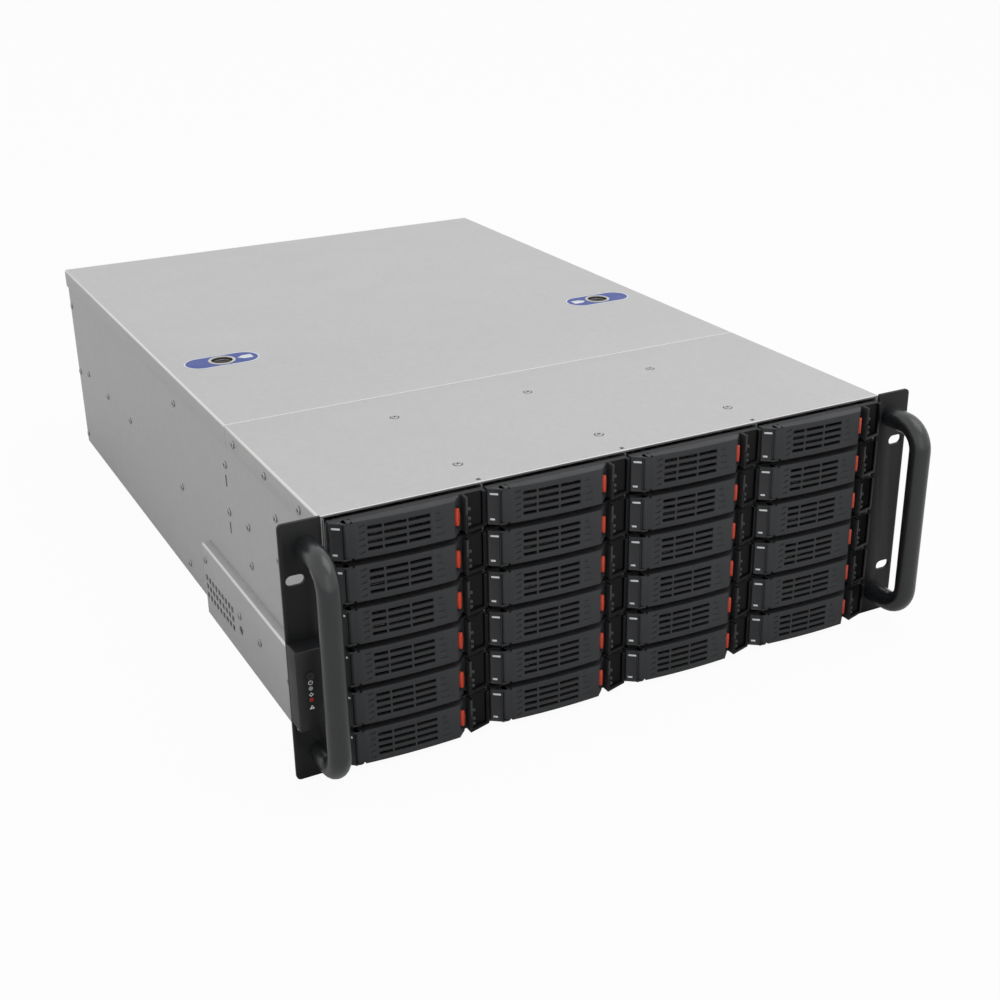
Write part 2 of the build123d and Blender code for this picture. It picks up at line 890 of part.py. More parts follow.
def vent_slots():
    cuts = []
    length = vent_end - vent_start
    edges = (vent_start, vent_start + length / 4, vent_start + length * 5 / 8, vent_end)
    for row in range(vent_rows):
        z = bezel_middle + (row - (vent_rows - 1) / 2) * vent_pitch
        for left, right in zip(edges[:-1], edges[1:]):
            cuts.append(
                block(
                    left + vent_rib / 2, right - vent_rib / 2, 2 * nose_front, bezel_wall_front,
                    z - vent_height / 2, z + vent_height / 2,
                )
            )
    return cuts


def release_shape(first, last, grow):
    start, end, inward = nose_frame()
    centre = (start + end) * 0.5
    plane = Plane(
        origin=(centre.X + inward.X * first, centre.Y + inward.Y * first, bezel_middle),
        x_dir=(0, 0, 1),
        z_dir=(inward.X, inward.Y, 0),
    )
    face = plane * SlotOverall(release_height + 2 * grow, release_width + 2 * grow)
    return extrude(face, amount=last - first)


def release_button():
    return release_shape(-release_proud, release_length - release_proud, 0)


# Fans

def fan_centres():
    return [(index - (fan_count - 1) / 2) * fan_pitch for index in range(fan_count)]


def fan_wall():
    front = fan_wall_y
    back = front + tub_sheet
    half = wall_inner - sheet_gap
    wall = block(-half, half, front, back, tub_sheet, fan_wall_height)
    for x in fan_centres():
        wall -= rod_y(x, front - cut_past, back + cut_past, fan_middle_z, fan_bore)
    wall += block(-half, half, back, back + fan_wall_lip, fan_wall_height - tub_sheet, fan_wall_height)
    wall += block(-half, half, back, back + fan_wall_flange, tub_sheet, 2 * tub_sheet)
    for side in (-1, 1):
        wall += block(
            side * half, side * (half - tub_sheet), back, back + fan_wall_flange, tub_sheet, fan_wall_height
        )
        wall -= wall_holes(side, wall_fasteners)
    for x in fan_centres():
        half_foot = fan_foot / 2
        wall += block(x - half_foot, x + half_foot, back, back + fan_depth, 2 * tub_sheet, fan_low_z)
    return wall


def fan_frame(x):
    front = fan_wall_y + tub_sheet
    back = front + fan_depth
    half = fan_size / 2
    frame = block(x - half, x + half, front, back, fan_middle_z - half, fan_middle_z + half)
    frame -= rod_y(x, front - cut_past, back + cut_past, fan_middle_z, fan_bore)
    hub = rod_y(x, back - fan_arm_depth, back, fan_middle_z, fan_hub + fan_arm / 4)
    for turn in range(4):
        arm = block(
            -fan_arm / 2, fan_arm / 2, back - fan_arm_depth, back,
            fan_hub - fan_arm / 2, fan_bore + fan_arm / 4,
        )
        hub += Pos(x, 0, fan_middle_z) * Rot(0, 45 + 90 * turn, 0) * arm
    frame += hub
    corner = (fan_size - fan_corner_inset) / 2
    for i in (-1, 1):
        for j in (-1, 1):
            frame -= rod_y(
                x + i * corner, front - cut_past, back + cut_past, fan_middle_z + j * corner, fan_hole
            )
    return frame


def fan_rotor(x):
    front = fan_wall_y + tub_sheet + fan_front_room
    back = fan_wall_y + tub_sheet + fan_depth - fan_arm_depth - fit_gap
    rotor = rod_y(0, front, back, 0, fan_hub)
    root = fan_hub - fan_blade_root
    span = fan_bore - fan_tip_gap - root
    vane = Pos(0, (front + back) / 2, root + span / 2) * Rot(0, 0, fan_blade_angle)
    vane = vane * Box(fan_blade_sheet, fan_blade_chord, span)
    for blade in range(fan_blades):
        rotor += Rot(0, blade * 360 / fan_blades, 0) * vane
    return Pos(x, 0, fan_middle_z) * rotor


# Screws and rivets

def case_screws():
    screws = []
    wall_length = tub_sheet + sheet_gap + cage_sheet
    flange_length = cover_sheet + sheet_gap + tub_sheet
    wing_back = ear_sheet + tub_sheet
    for side in (-1, 1):
        for y, z in wall_fasteners:
            screws.append(wall_screw(side, wall_outer, y, z, wall_length))
        for y, z in flange_fasteners:
            screws.append(wall_screw(side, body_width / 2, y, z, flange_length))
        for z in wing_screws:
            x = side * (wall_outer + wing_width / 2 + cut_past)
            screws.append(rod_y(x, wing_back, wing_back + wing_screw_height, z, wing_screw_radius))
    for y, z in duct_fasteners:
        screws.append(wall_screw(-1, wall_outer + duct_width, y, z, duct_width))
    for x, y in cover_screw_points():
        head = rod_z(x, y, cover_top, cover_top + latch_rim_sheet, fastener_head)
        screws.append(head + rod_z(x, y, cover_under, cover_top, fastener_shank))
    return group(screws)


def main():
    os.makedirs("parts", exist_ok=True)
    write_node("chassis_tub", chassis_tub())
    write_node("rear_panel", rear_panel())
    write_node("slot_covers", slot_covers())
    write_node("standoffs", standoffs())
    write_node("front_cover", front_cover())
    write_node("rear_cover", rear_cover())
    write_node("latch_labels", latch_labels())
    write_node("latch_cups", group([latch_cup(-1), latch_cup(1)]))
    write_node("side_duct", side_duct())
    write_node("control_panel", control_panel())
    write_node("panel_board", panel_board_and_lamps())
    write_node("power_button", panel_button(panel_outer_column, power_radius))
    write_node("reset_button", panel_button(panel_inner_column, reset_radius))
    write_node("drive_cage", drive_cage())
    write_node("backplanes", backplanes())
    write_node("backplane_connectors", backplane_connectors())
    write_node("fan_wall", fan_wall())
    write_node("fan_frames", group([fan_frame(x) for x in fan_centres()]))
    write_node("case_screws", case_screws())
    for name, side in (("left", -1), ("right", 1)):
        write_node(f"latch_button_{name}", latch_button(side))
        write_node(f"rack_ear_{name}", rack_ear(side))
        write_node(f"handle_{name}", handle(side))
    for name, x in zip(("left", "middle", "right"), fan_centres()):
        write_node(f"fan_rotor_{name}", fan_rotor(x))
    fixed_pieces = tray_carrier() + bezel_frame() + [hinge_pin()] + light_pipe_blocks()
    lever_piece = lever()
    release_piece = release_button()
    for row in range(rows):
        for column in range(columns):
            place = Pos(column_centre(column) - bezel_width / 2, 0, row_base(row))
            label = f"r{row + 1}_c{column + 1}"
            pieces = list(fixed_pieces)
            if row < rows - 1:
                pieces += [lever_piece, release_piece]
            else:
                write_node(f"lever_{label}", place * lever_piece)
                write_node(f"release_{label}", place * release_piece)
            write_node(f"tray_{label}", place * group(pieces))


main()
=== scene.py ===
import math
import bpy
from mathutils import Matrix, Vector


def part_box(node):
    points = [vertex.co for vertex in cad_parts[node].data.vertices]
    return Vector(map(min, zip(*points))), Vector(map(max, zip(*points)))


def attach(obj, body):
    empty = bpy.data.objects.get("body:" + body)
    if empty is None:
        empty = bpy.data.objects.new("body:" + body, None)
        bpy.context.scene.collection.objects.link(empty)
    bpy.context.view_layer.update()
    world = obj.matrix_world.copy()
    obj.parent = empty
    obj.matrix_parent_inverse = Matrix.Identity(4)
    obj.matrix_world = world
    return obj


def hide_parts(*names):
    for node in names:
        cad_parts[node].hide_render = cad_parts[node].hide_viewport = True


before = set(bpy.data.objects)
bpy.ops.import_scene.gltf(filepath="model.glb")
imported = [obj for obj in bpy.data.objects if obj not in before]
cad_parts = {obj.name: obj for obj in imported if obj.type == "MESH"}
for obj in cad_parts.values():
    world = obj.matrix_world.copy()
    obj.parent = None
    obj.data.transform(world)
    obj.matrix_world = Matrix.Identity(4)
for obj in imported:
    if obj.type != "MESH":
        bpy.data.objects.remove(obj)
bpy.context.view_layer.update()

mm = 0.001
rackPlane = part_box("rack_ear_left")[0].y  # front faces of the ears: every y below is counted from here
wallOuter = 213.8
coverTop = 176.2
mostly = 0.9  # a face or an edge counts as facing a way when this share of its direction does
weld = 0.01  # points nearer than this are one
print("frame loaded")


# Modelling helpers: they take millimetres, with y counted from the ears

def toFrame(x, y, z):
    return Vector((x * mm, y * mm + rackPlane, z * mm))


def toCase(point):
    return Vector((point.x / mm, (point.y - rackPlane) / mm, point.z / mm))


def setMode(mode):
    bpy.ops.object.mode_set(mode=mode)


def selectMesh(action):
    bpy.ops.mesh.select_all(action=action)


def applyPlace():
    bpy.ops.object.transform_apply(location=True, rotation=True, scale=True)


def deselectAll():
    if bpy.context.object and bpy.context.object.mode != "OBJECT":
        setMode("OBJECT")
    bpy.ops.object.select_all(action="DESELECT")


def pick(piece):
    deselectAll()
    piece.select_set(True)
    bpy.context.view_layer.objects.active = piece


def startBox(name, low, high):
    a, b = toFrame(*low), toFrame(*high)
    deselectAll()
    bpy.ops.mesh.primitive_cube_add(size=1, location=(a + b) / 2)
    piece = bpy.context.object
    piece.name = name
    piece.scale = [abs(side) for side in b - a]
    applyPlace()
    return piece


def startRod(name, start, end, radius, sides=24):
    a, b = toFrame(*start), toFrame(*end)
    deselectAll()
    turn = (b - a).to_track_quat("Z", "Y").to_euler()
    bpy.ops.mesh.primitive_cylinder_add(
        vertices=sides, radius=radius * mm, depth=(b - a).length, location=(a + b) / 2, rotation=turn)
    piece = bpy.context.object
    piece.name = name
    applyPlace()
    return piece


def drawLine(name, spots):
    # one vertex extruded from spot to spot
    deselectAll()
    bpy.ops.mesh.primitive_plane_add(size=mm, location=spots[0])
    piece = bpy.context.object
    piece.name = name
    applyPlace()
    setMode("EDIT")
    bpy.ops.mesh.select_mode(type="VERT")
    selectMesh("SELECT")
    bpy.ops.mesh.merge(type="CENTER")
    for here, there in zip(spots, spots[1:]):
        bpy.ops.mesh.extrude_vertices_move(TRANSFORM_OT_translate={"value": there - here})
    selectMesh("SELECT")
    return piece


def extrudeBy(shift):
    bpy.ops.mesh.extrude_region_move(TRANSFORM_OT_translate={"value": shift})


def drawOutline(name, points, depth):
    spots = [toFrame(*point) for point in points]
    piece = drawLine(name, spots + spots[:1])
    bpy.ops.mesh.remove_doubles(threshold=weld * mm)
    bpy.ops.mesh.edge_face_add()
    extrudeBy(Vector(depth) * mm)
    selectMesh("SELECT")
    bpy.ops.mesh.normals_make_consistent(inside=False)
    setMode("OBJECT")
    return piece


def ovalPoints(middle, along, across, length, width, steps=8):
    # a stadium: two half circles on straight sides
    middle, along, across = Vector(middle), Vector(along), Vector(across)
    points = []
    for end in (1, -1):
        for step in range(steps + 1):
            turn = math.pi * (step / steps - 0.5)
            reach = end * ((length - width) / 2 + math.cos(turn) * width / 2)
            points.append(middle + along * reach + across * end * math.sin(turn) * width / 2)
    return points


def joinAll(pieces, name):
    deselectAll()
    for piece in pieces:
        piece.select_set(True)
    bpy.context.view_layer.objects.active = pieces[0]
    if len(pieces) > 1:
        bpy.ops.object.join()
    pieces[0].name = name
    return pieces[0]


def applyModifier(piece, kind, settings):
    modifier = piece.modifiers.new(kind.lower(), kind)
    for key, value in settings.items():
        setattr(modifier, key, value)
    pick(piece)
    bpy.ops.object.modifier_apply(modifier=modifier.name)
    return piece


def cutWith(piece, cutters):
    # cutters run a millimetre or more past the piece, so that no faces coincide
    cutter = joinAll(cutters, piece.name + "Cutter")
    applyModifier(piece, "BOOLEAN", {
        "operation": "DIFFERENCE", "solver": "EXACT", "use_self": True, "object": cutter})
    bpy.data.objects.remove(cutter)
    return piece


def smoothOver(piece, angle=35):
    pick(piece)
    bpy.ops.object.shade_smooth_by_angle(angle=math.radians(angle))
    return piece


def roundEdges(piece, width, segments=2, angle=35):
    applyModifier(piece, "BEVEL", {
        "width": width * mm, "segments": segments, "limit_method": "ANGLE", "angle_limit": math.radians(angle)})
    return smoothOver(piece)


def selectWhere(piece, kind, test):
    # test gets the middle of each edge or face, and the edge's run or the face's normal
    pick(piece)
    setMode("EDIT")
    bpy.ops.mesh.select_mode(type=kind)
    selectMesh("DESELECT")
    setMode("OBJECT")
    if kind == "FACE":
        for face in piece.data.polygons:
            face.select = test(toCase(face.center), face.normal)
    else:
        for edge in piece.data.edges:
            a, b = [piece.data.vertices[index].co for index in edge.vertices]
            edge.select = test(toCase((a + b) / 2), (b - a).normalized())
    setMode("EDIT")


def bendEdges(piece, test, radius, segments=5):
    selectWhere(piece, "EDGE", test)
    bpy.ops.mesh.bevel(offset=radius * mm, segments=segments, affect="EDGES")
    setMode("OBJECT")


def sinkFace(piece, test, rim, depth):
    # inset a face and push it in: a dished or panelled face
    selectWhere(piece, "FACE", test)
    bpy.ops.mesh.inset(thickness=rim * mm, depth=0)
    bpy.ops.mesh.inset(thickness=min(rim, depth) * 0.5 * mm, depth=-depth * mm)
    setMode("OBJECT")


def foldSheet(name, corners, run, gauge, bend):
    # a blank drawn by its outer line in x and z and pulled along y,
    # then bent at the corners and given its gauge inwards
    piece = drawLine(name, [toFrame(x, run[0], z) for x, z in corners])
    extrudeBy((0, (run[1] - run[0]) * mm, 0))
    selectMesh("SELECT")
    bpy.ops.mesh.normals_make_consistent(inside=False)
    setMode("OBJECT")
    middle = sum((Vector((x, 0, z)) for x, z in corners), Vector()) / len(corners)
    widest = max(piece.data.polygons, key=lambda face: face.area)
    outwards = toCase(widest.center) - middle
    outwards.y = 0
    if outwards.dot(widest.normal) < 0:
        setMode("EDIT")
        bpy.ops.mesh.flip_normals()
        setMode("OBJECT")
    inner = [Vector((x, 0, z)) for x, z in corners[1:-1]]

    def isCorner(spot, way):
        flat = Vector((spot.x, 0, spot.z))
        return abs(way.y) > mostly and any((flat - corner).length < 0.1 for corner in inner)

    bendEdges(piece, isCorner, bend)
    return applyModifier(piece, "SOLIDIFY", {"thickness": gauge * mm, "offset": -1, "use_even_offset": True})


def copyPiece(master, name, matrix):
    piece = master.copy()
    piece.data = master.data.copy()
    piece.data.transform(matrix)
    piece.name = name
    bpy.context.scene.collection.objects.link(piece)
    return piece


def finishPiece(piece, name, body, finish, stands=()):
    piece.name = name
    piece.data.name = name
    if finish:
        piece.data.materials.clear()
        piece.data.materials.append(finish)
    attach(piece, body)
    if stands:
        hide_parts(*stands)
    return piece


# Finishes

def hexColour(code):
    parts = [int(code[place:place + 2], 16) / 255 for place in (1, 3, 5)]
    return [part / 12.92 if part <= 0.04045 else ((part + 0.055) / 1.055) ** 2.4 for part in parts] + [1.0]


def addNode(material, kind, settings=None, links=None):
    node = material.node_tree.nodes.new("ShaderNode" + kind)
    for key, value in (settings or {}).items():
        if isinstance(key, str) and key[0].islower():
            setattr(node, key, value)
        else:
            node.inputs[key].default_value = value
    for key, socket in (links or {}).items():
        material.node_tree.links.new(socket, node.inputs[key])
    return node


texture = {"cloudDetail": 3.0, "grainDetail": 2.0, "cloudRange": (0.3, 0.7)}


def makeFinish(**look):
    # two close colours in soft clouds or spangles, a roughness that drifts with them, and a fine surface
    # grain given as size, strength and depth
    grainSize, grainStrength, grainDepth = look["grain"]
    low, high = texture["cloudRange"]
    material = bpy.data.materials.new(look["name"])
    material.use_nodes = True
    material.node_tree.nodes.clear()
    place = {"Vector": addNode(material, "TexCoord").outputs["Object"]}
    cloud = addNode(material, "TexNoise", {
        "Scale": 1 / (look["cloudSize"] * mm), "Detail": texture["cloudDetail"]}, place)
    grain = addNode(material, "TexNoise", {
        "Scale": 1 / (grainSize * mm), "Detail": texture["grainDetail"]}, place)
    pattern = cloud.outputs["Fac"]
    if "spangleSize" in look:
        spangle = addNode(material, "TexVoronoi", {"Scale": 1 / (look["spangleSize"] * mm)}, place)
        pattern = spangle.outputs["Color"]
    tone = addNode(material, "Mix", {  # sockets 6, 7 and 2 of this node are its colours
        "data_type": "RGBA", 6: hexColour(look["colour"]), 7: hexColour(look["shade"])}, {0: pattern})
    drift = addNode(material, "MapRange", {
        "From Min": low, "From Max": high, "To Min": look["roughness"][0], "To Max": look["roughness"][1]}, {
        "Value": cloud.outputs["Fac"]})
    bump = addNode(material, "Bump", {"Strength": grainStrength, "Distance": grainDepth * mm}, {
        "Height": grain.outputs["Fac"]})
    shader = addNode(material, "BsdfPrincipled", {"Metallic": look.get("metallic", 0.0)}, {
        "Base Color": tone.outputs[2], "Roughness": drift.outputs["Result"], "Normal": bump.outputs["Normal"]})
    if "ior" in look:
        shader.inputs["IOR"].default_value = look["ior"]
    if "coat" in look:
        shader.inputs["Coat Weight"].default_value = look["coat"]
        shader.inputs["Coat Roughness"].default_value = look["coatRoughness"]
    addNode(material, "OutputMaterial", {}, {"Surface": shader.outputs["BSDF"]})
    return material


# cold-rolled steel, zinc coated in a bath: even light grey, dull shine, faint zinc crystals
galvanisedSteel = makeFinish(
    name="galvanisedSteelSheet", colour="#C5C5C5", shade="#C1C1C1", metallic=0.55,
    roughness=(0.46, 0.54), cloudSize=60, spangleSize=4.0, grain=(0.8, 0.12, 0.02))
# the same zinc coated steel inside the case, a little duller from handling
cageSteel = makeFinish(
    name="galvanisedCageSteel", colour="#A9AAAA", shade="#9FA0A1", metallic=0.8,
    roughness=(0.4, 0.5), cloudSize=40, spangleSize=4.0, grain=(0.8, 0.25, 0.02))
# the zinc coated sheet painted near white on its upper bends and rounded edges: painted highlight where the light
# catches them
edgePaintedHighlight = makeFinish(
    name="zincEdgePaintedHighlight", colour="#F6F6F4", shade="#EFEFED", metallic=0.3,
    roughness=(0.3, 0.38), cloudSize=20, grain=(0.8, 0.1, 0.02))
# ABS moulded against a spark-eroded tool: dark grey, matt, fine even grain
trayPlastic = makeFinish(
    name="mouldedGrainedAbs", colour="#353638", shade="#2E2F31", ior=1.42,
    roughness=(0.46, 0.54), cloudSize=25, grain=(0.5, 0.45, 0.05))
# the same plastic inside the grip hollows, painted nearly black and a little glossier: painted shade for the shadow
# in the hollows
hollowPaintedShade = makeFinish(
    name="paintedShadeHollowAbs", colour="#0B0B0C", shade="#090909", ior=1.25,
    roughness=(0.3, 0.4), cloudSize=10, grain=(0.5, 0.1, 0.02))
# steel with black powder coat: satin, slight orange peel
earCoat = makeFinish(
    name="blackPowderCoatSteel", colour="#0F1011", shade="#0C0D0E", ior=1.42,
    roughness=(0.42, 0.52), cloudSize=30, grain=(0.9, 0.35, 0.05))
# aluminium tube, bent and painted: smoother satin black with a broad soft highlight
handlePaint = makeFinish(
    name="satinPaintedTube", colour="#1E2022", shade="#1A1C1E", ior=1.45,
    coat=0.6, coatRoughness=0.2, roughness=(0.3, 0.36), cloudSize=30, grain=(0.6, 0.15, 0.03))
# ABS moulded in a polished tool: clean red, low shine
redPlastic = makeFinish(
    name="mouldedRedAbs", colour="#D4482C", shade="#CC4228", ior=1.5,
    roughness=(0.34, 0.4), cloudSize=10, grain=(0.6, 0.15, 0.02))
# polyester film printed blue, laminated: flat colour under a thin clear gloss
labelFilm = makeFinish(
    name="printedPolyesterBlue", colour="#304B9F", shade="#2C4698", ior=1.4,
    roughness=(0.4, 0.46), cloudSize=15, grain=(1.2, 0.08, 0.02))
# the same film left white
labelWhite = makeFinish(
    name="printedPolyesterWhite", colour="#E9EBF0", shade="#E4E7EE", ior=1.5,
    roughness=(0.4, 0.46), cloudSize=15, grain=(1.2, 0.08, 0.02))
# pressed steel with bright nickel: clear reflections, slight haze
latchNickel = makeFinish(
    name="nickelPlatedPressing", colour="#C2C1BD", shade="#B8B7B3", metallic=1.0,
    roughness=(0.2, 0.28), cloudSize=8, grain=(0.6, 0.1, 0.02))
# steel screws with bright zinc
screwZinc = makeFinish(
    name="zincPlatedScrew", colour="#B4B5B4", shade="#A8A9A9", metallic=1.0,
    roughness=(0.3, 0.38), cloudSize=3, grain=(0.4, 0.15, 0.02))
# turned brass, bare
turnedBrass = makeFinish(
    name="turnedBrass", colour="#C9A24F", shade="#BF9746", metallic=1.0,
    roughness=(0.25, 0.33), cloudSize=3, grain=(0.4, 0.15, 0.02))
# glass-epoxy board under green solder mask: semi gloss, weave just showing
solderMask = makeFinish(
    name="greenSolderMask", colour="#2C6A3F", shade="#26593A", ior=1.5, spangleSize=6.0,
    roughness=(0.28, 0.36), cloudSize=12, grain=(1.0, 0.15, 0.03))
# glass-filled nylon, moulded: black, matt, faint fibre grain
blackNylon = makeFinish(
    name="mouldedBlackNylon", colour="#1F1F20", shade="#191A1B", ior=1.52,
    roughness=(0.46, 0.56), cloudSize=15, grain=(0.5, 0.35, 0.05))
# soft black moulding of the cover buttons, warm and nearly matt; the same black is painted on the bore of the nickel
# cups as painted shade
buttonBlackAndBoreShade = makeFinish(
    name="mouldedButtonBlackAndBoreShade", colour="#2B2624", shade="#242020", ior=1.5,
    roughness=(0.4, 0.5), cloudSize=6, grain=(0.5, 0.25, 0.03))
# moulded housing of the front panel, fine grain
panelPlastic = makeFinish(
    name="mouldedPanelAbs", colour="#18191B", shade="#141517", ior=1.5,
    roughness=(0.4, 0.48), cloudSize=20, grain=(0.5, 0.35, 0.04))
# clear acrylic light pipes: look white where the light comes out
pipeAcrylic = makeFinish(
    name="polishedAcrylicPipe", colour="#EEF1F3", shade="#E3E7EA", ior=1.49,
    roughness=(0.12, 0.18), cloudSize=3, grain=(0.6, 0.05, 0.01))
# white pad-printed marks
whitePrint = makeFinish(
    name="padPrintedWhite", colour="#E6E6E4", shade="#DCDCDA", ior=1.5,
    roughness=(0.5, 0.6), cloudSize=2, grain=(0.3, 0.1, 0.01))
# tinted and clear epoxy of the lamps
lampRed = makeFinish(
    name="tintedLampRed", colour="#B8322A", shade="#A32A24", ior=1.5,
    roughness=(0.15, 0.2), cloudSize=2, grain=(0.4, 0.05, 0.01))
lampClear = makeFinish(
    name="frostedLampClear", colour="#A9ADB1", shade="#9CA0A5", ior=1.5,
    roughness=(0.2, 0.28), cloudSize=2, grain=(0.4, 0.05, 0.01))
print("finishes made")


# Camera, light and floor

view = {"target": (0.01061, -0.130, 0.06275), "azimuth": -27.646, "elevation": 23.681,
        "distance": 1.16854, "lens": 52.695, "sensor": 36, "roll": -0.779}
light = {"world": 0.57,  # what diffuse rays get: camera, glossy and transmission rays see full white
         "softboxes": (("keySoftbox", (0.7, -0.6, 1.9), (0, 0, 0.1), 1.6, 12.0),
                       ("fillSoftbox", (-0.5, -2.0, 0.9), (0, -0.2, 0.1), 1.4, 2.5))}
ground = {"size": 12, "drop": 0.2, "colour": "#E4E4E4", "white": 0.95}


def setCamera():
    a, e, r = [math.radians(view[key]) for key in ("azimuth", "elevation", "roll")]
    back = Vector((math.sin(a) * math.cos(e), -math.cos(a) * math.cos(e), math.sin(e)))
    side = Vector((0, 0, 1)).cross(back).normalized()
    up = back.cross(side)
    right = side * math.cos(r) + up * math.sin(r)
    top = up * math.cos(r) - side * math.sin(r)
    lens = bpy.data.cameras.new("studioCamera")
    lens.lens = view["lens"]
    lens.sensor_width = view["sensor"]
    camera = bpy.data.objects.new("studioCamera", lens)
    bpy.context.scene.collection.objects.link(camera)
    camera.matrix_world = Matrix.Translation(Vector(view["target"]) + back * view["distance"]) @ Matrix(
        (right, top, back)).transposed().to_4x4()
    bpy.context.scene.camera = camera


def addSoftbox(name, spot, aim, size, power):
    softbox = bpy.data.lights.new(name, "AREA")
    softbox.shape = "SQUARE"
    softbox.size = size
    softbox.energy = power
    lamp = bpy.data.objects.new(name, softbox)
    bpy.context.scene.collection.objects.link(lamp)
    lamp.location = spot
    lamp.rotation_euler = (Vector(spot) - Vector(aim)).to_track_quat("Z", "Y").to_euler()


def setLight():
    world = bpy.data.worlds.new("paleStudio")
    bpy.context.scene.world = world
    world.use_nodes = True
    world.node_tree.nodes.clear()
    rays = addNode(world, "LightPath")
    seen = addNode(world, "Math", {"operation": "MAXIMUM"}, {
        0: rays.outputs["Is Camera Ray"], 1: rays.outputs["Is Glossy Ray"]})
    seen = addNode(world, "Math", {"operation": "MAXIMUM"}, {
        0: seen.outputs[0], 1: rays.outputs["Is Transmission Ray"]})
    level = addNode(world, "MapRange", {"To Min": light["world"], "To Max": 1.0}, {"Value": seen.outputs[0]})
    sky = addNode(world, "Background", {"Color": (1, 1, 1, 1)}, {"Strength": level.outputs["Result"]})
    addNode(world, "OutputWorld", {}, {"Surface": sky.outputs[0]})
    for softbox in light["softboxes"]:
        addSoftbox(*softbox)


def layFloor():
    deselectAll()
    bpy.ops.mesh.primitive_plane_add(size=ground["size"], location=(0, 0, -ground["drop"] * mm))
    floor = bpy.context.object
    floor.name = "paleFloor"
    pale = bpy.data.materials.new("paleFloorPaint")
    pale.use_nodes = True
    pale.node_tree.nodes.clear()
    rays = addNode(pale, "LightPath")
    paint = addNode(pale, "BsdfDiffuse", {"Color": hexColour(ground["colour"])})
    white = addNode(pale, "Emission", {"Color": (1, 1, 1, 1), "Strength": 1.0})
    share = addNode(pale, "Math", {"operation": "MULTIPLY", 1: ground["white"]}, {0: rays.outputs["Is Camera Ray"]})
    mix = addNode(pale, "MixShader", {}, {0: share.outputs[0], 1: paint.outputs[0], 2: white.outputs[0]})
    addNode(pale, "OutputMaterial", {}, {"Surface": mix.outputs[0]})
    floor.data.materials.append(pale)


setCamera()
setLight()
layFloor()
bpy.context.scene.view_settings.view_transform = "Standard"
print("camera, light and floor set")


# Sheet metal: the tub, its two covers and the duct on the left wall

tub = {"high": 174.9, "gauge": 1.2, "bend": 2.0, "front": 2.5, "rear": 660.0, "wing": 10.0, "wingSink": 0.6,
       "wingEdge": 0.2, "lip": 9.0, "lipFront": 196.0, "lipRear": 658.8, "hookSlots": ((189.0, 130.5), (189.0, 94.0)),
       "hookSize": (3.2, 9.0), "cableHole": (205, 235, 12, 36)}
cover = {"half": 215.0, "gauge": 1.0, "low": 160.2, "bend": 1.7, "bendZone": 2, "edge": 0.45, "front": 2.5,
         "seam": 178.0, "gap": 0.6, "rear": 661.3, "screwX": (-106.0, 0.0, 106.0), "screwY": (35.0, 134.0),
         "screwHole": 3.4, "notch": 3.0, "notchY": 6.5, "reliefIn": 1.2, "reliefRear": 5.0, "reliefDrop": 2.2,
         "latchX": 171.0, "latchY": 317.0, "latchHole": 10.2, "lip": 12.0, "lipIn": 1.2, "lipDrop": 0.3,
         "lipEdge": 0.25}
bendSlope = (0.15, 0.985)  # how upright the faces of a bend are, between its two flat sides


def paintFaces(piece, finish, second, test):
    # the faces that test picks get the second finish, such as upper bends painted near white as a painted highlight
    piece.data.materials.clear()
    piece.data.materials.append(finish)
    piece.data.materials.append(second)
    for face in piece.data.polygons:
        face.material_index = 1 if test(toCase(face.center), face.normal) else 0


def isBend(normal):
    return bendSlope[0] < abs(normal.z) < bendSlope[1]


def isLidBend(spot, normal):
    return spot.z > coverTop - cover["bendZone"] and isBend(normal) and normal.z > 0


def makeTub():
    x, z = wallOuter, tub["high"]
    gauge, front = tub["gauge"], tub["front"]
    shell = foldSheet("tub", [(-x, z), (-x, 0), (x, 0), (x, z)], (front, tub["rear"]), gauge, tub["bend"])
    cutters = []
    wide, tall = tub["hookSize"]
    for y, middle in tub["hookSlots"]:
        low, high = (-x - 2, y - wide / 2, middle - tall / 2), (x + 2, y + wide / 2, middle + tall / 2)
        cutters.append(startBox("slot", low, high))
    y0, y1, z0, z1 = tub["cableHole"]
    cutters.append(startBox("cableHole", (-x - 2, y0, z0), (-x + 3, y1, z1)))
    cutWith(shell, cutters)
    parts = [shell]
    for side in (-1, 1):
        inner = side * (x - gauge)
        parts.append(startBox(
            "lip", (inner, tub["lipFront"], z - gauge), (inner - side * tub["lip"], tub["lipRear"], z)))
        wing = startBox(
            "wing", (side * (x - tub["wingSink"]), front, 0), (side * (x + tub["wing"]), front + gauge, z))
        parts.append(roundEdges(wing, tub["wingEdge"]))
    shell = smoothOver(joinAll(parts, "tub"))
    finishPiece(shell, "tubShell", "case", galvanisedSteel, ["chassis_tub"])


def foldLid(front, rear):
    half, low = cover["half"], cover["low"]
    lid = foldSheet("lid", [(-half, low), (-half, coverTop), (half, coverTop), (half, low)],
                    (front, rear), cover["gauge"], cover["bend"])
    return roundEdges(lid, cover["edge"], 2, 60)


def makeFrontCover():
    half, top = cover["half"], coverTop
    lid = foldLid(cover["front"], cover["seam"])
    cutters = []
    reach = cover["notch"] / 2
    for x in cover["screwX"]:
        for y in cover["screwY"]:
            cutters.append(startRod("hole", (x, y, top - 3), (x, y, top + 2), cover["screwHole"]))
        y = cover["notchY"]
        cutters.append(startBox("notch", (x - reach, y - reach, top - 3), (x + reach, y + reach, top + 2)))
    for side in (-1, 1):  # the side flanges start behind the ears
        cutters.append(startBox(
            "relief", (side * (half - cover["reliefIn"]), 0, cover["low"] - 2),
            (side * (half + 2), cover["reliefRear"], top - cover["reliefDrop"])))
    cutWith(lid, cutters)
    # painted highlight: the upward facing bends and rounded edges near the top get the near-white finish
    paintFaces(lid, galvanisedSteel, edgePaintedHighlight, isLidBend)
    finishPiece(smoothOver(lid), "frontCoverSheet", "case", None, ["front_cover"])


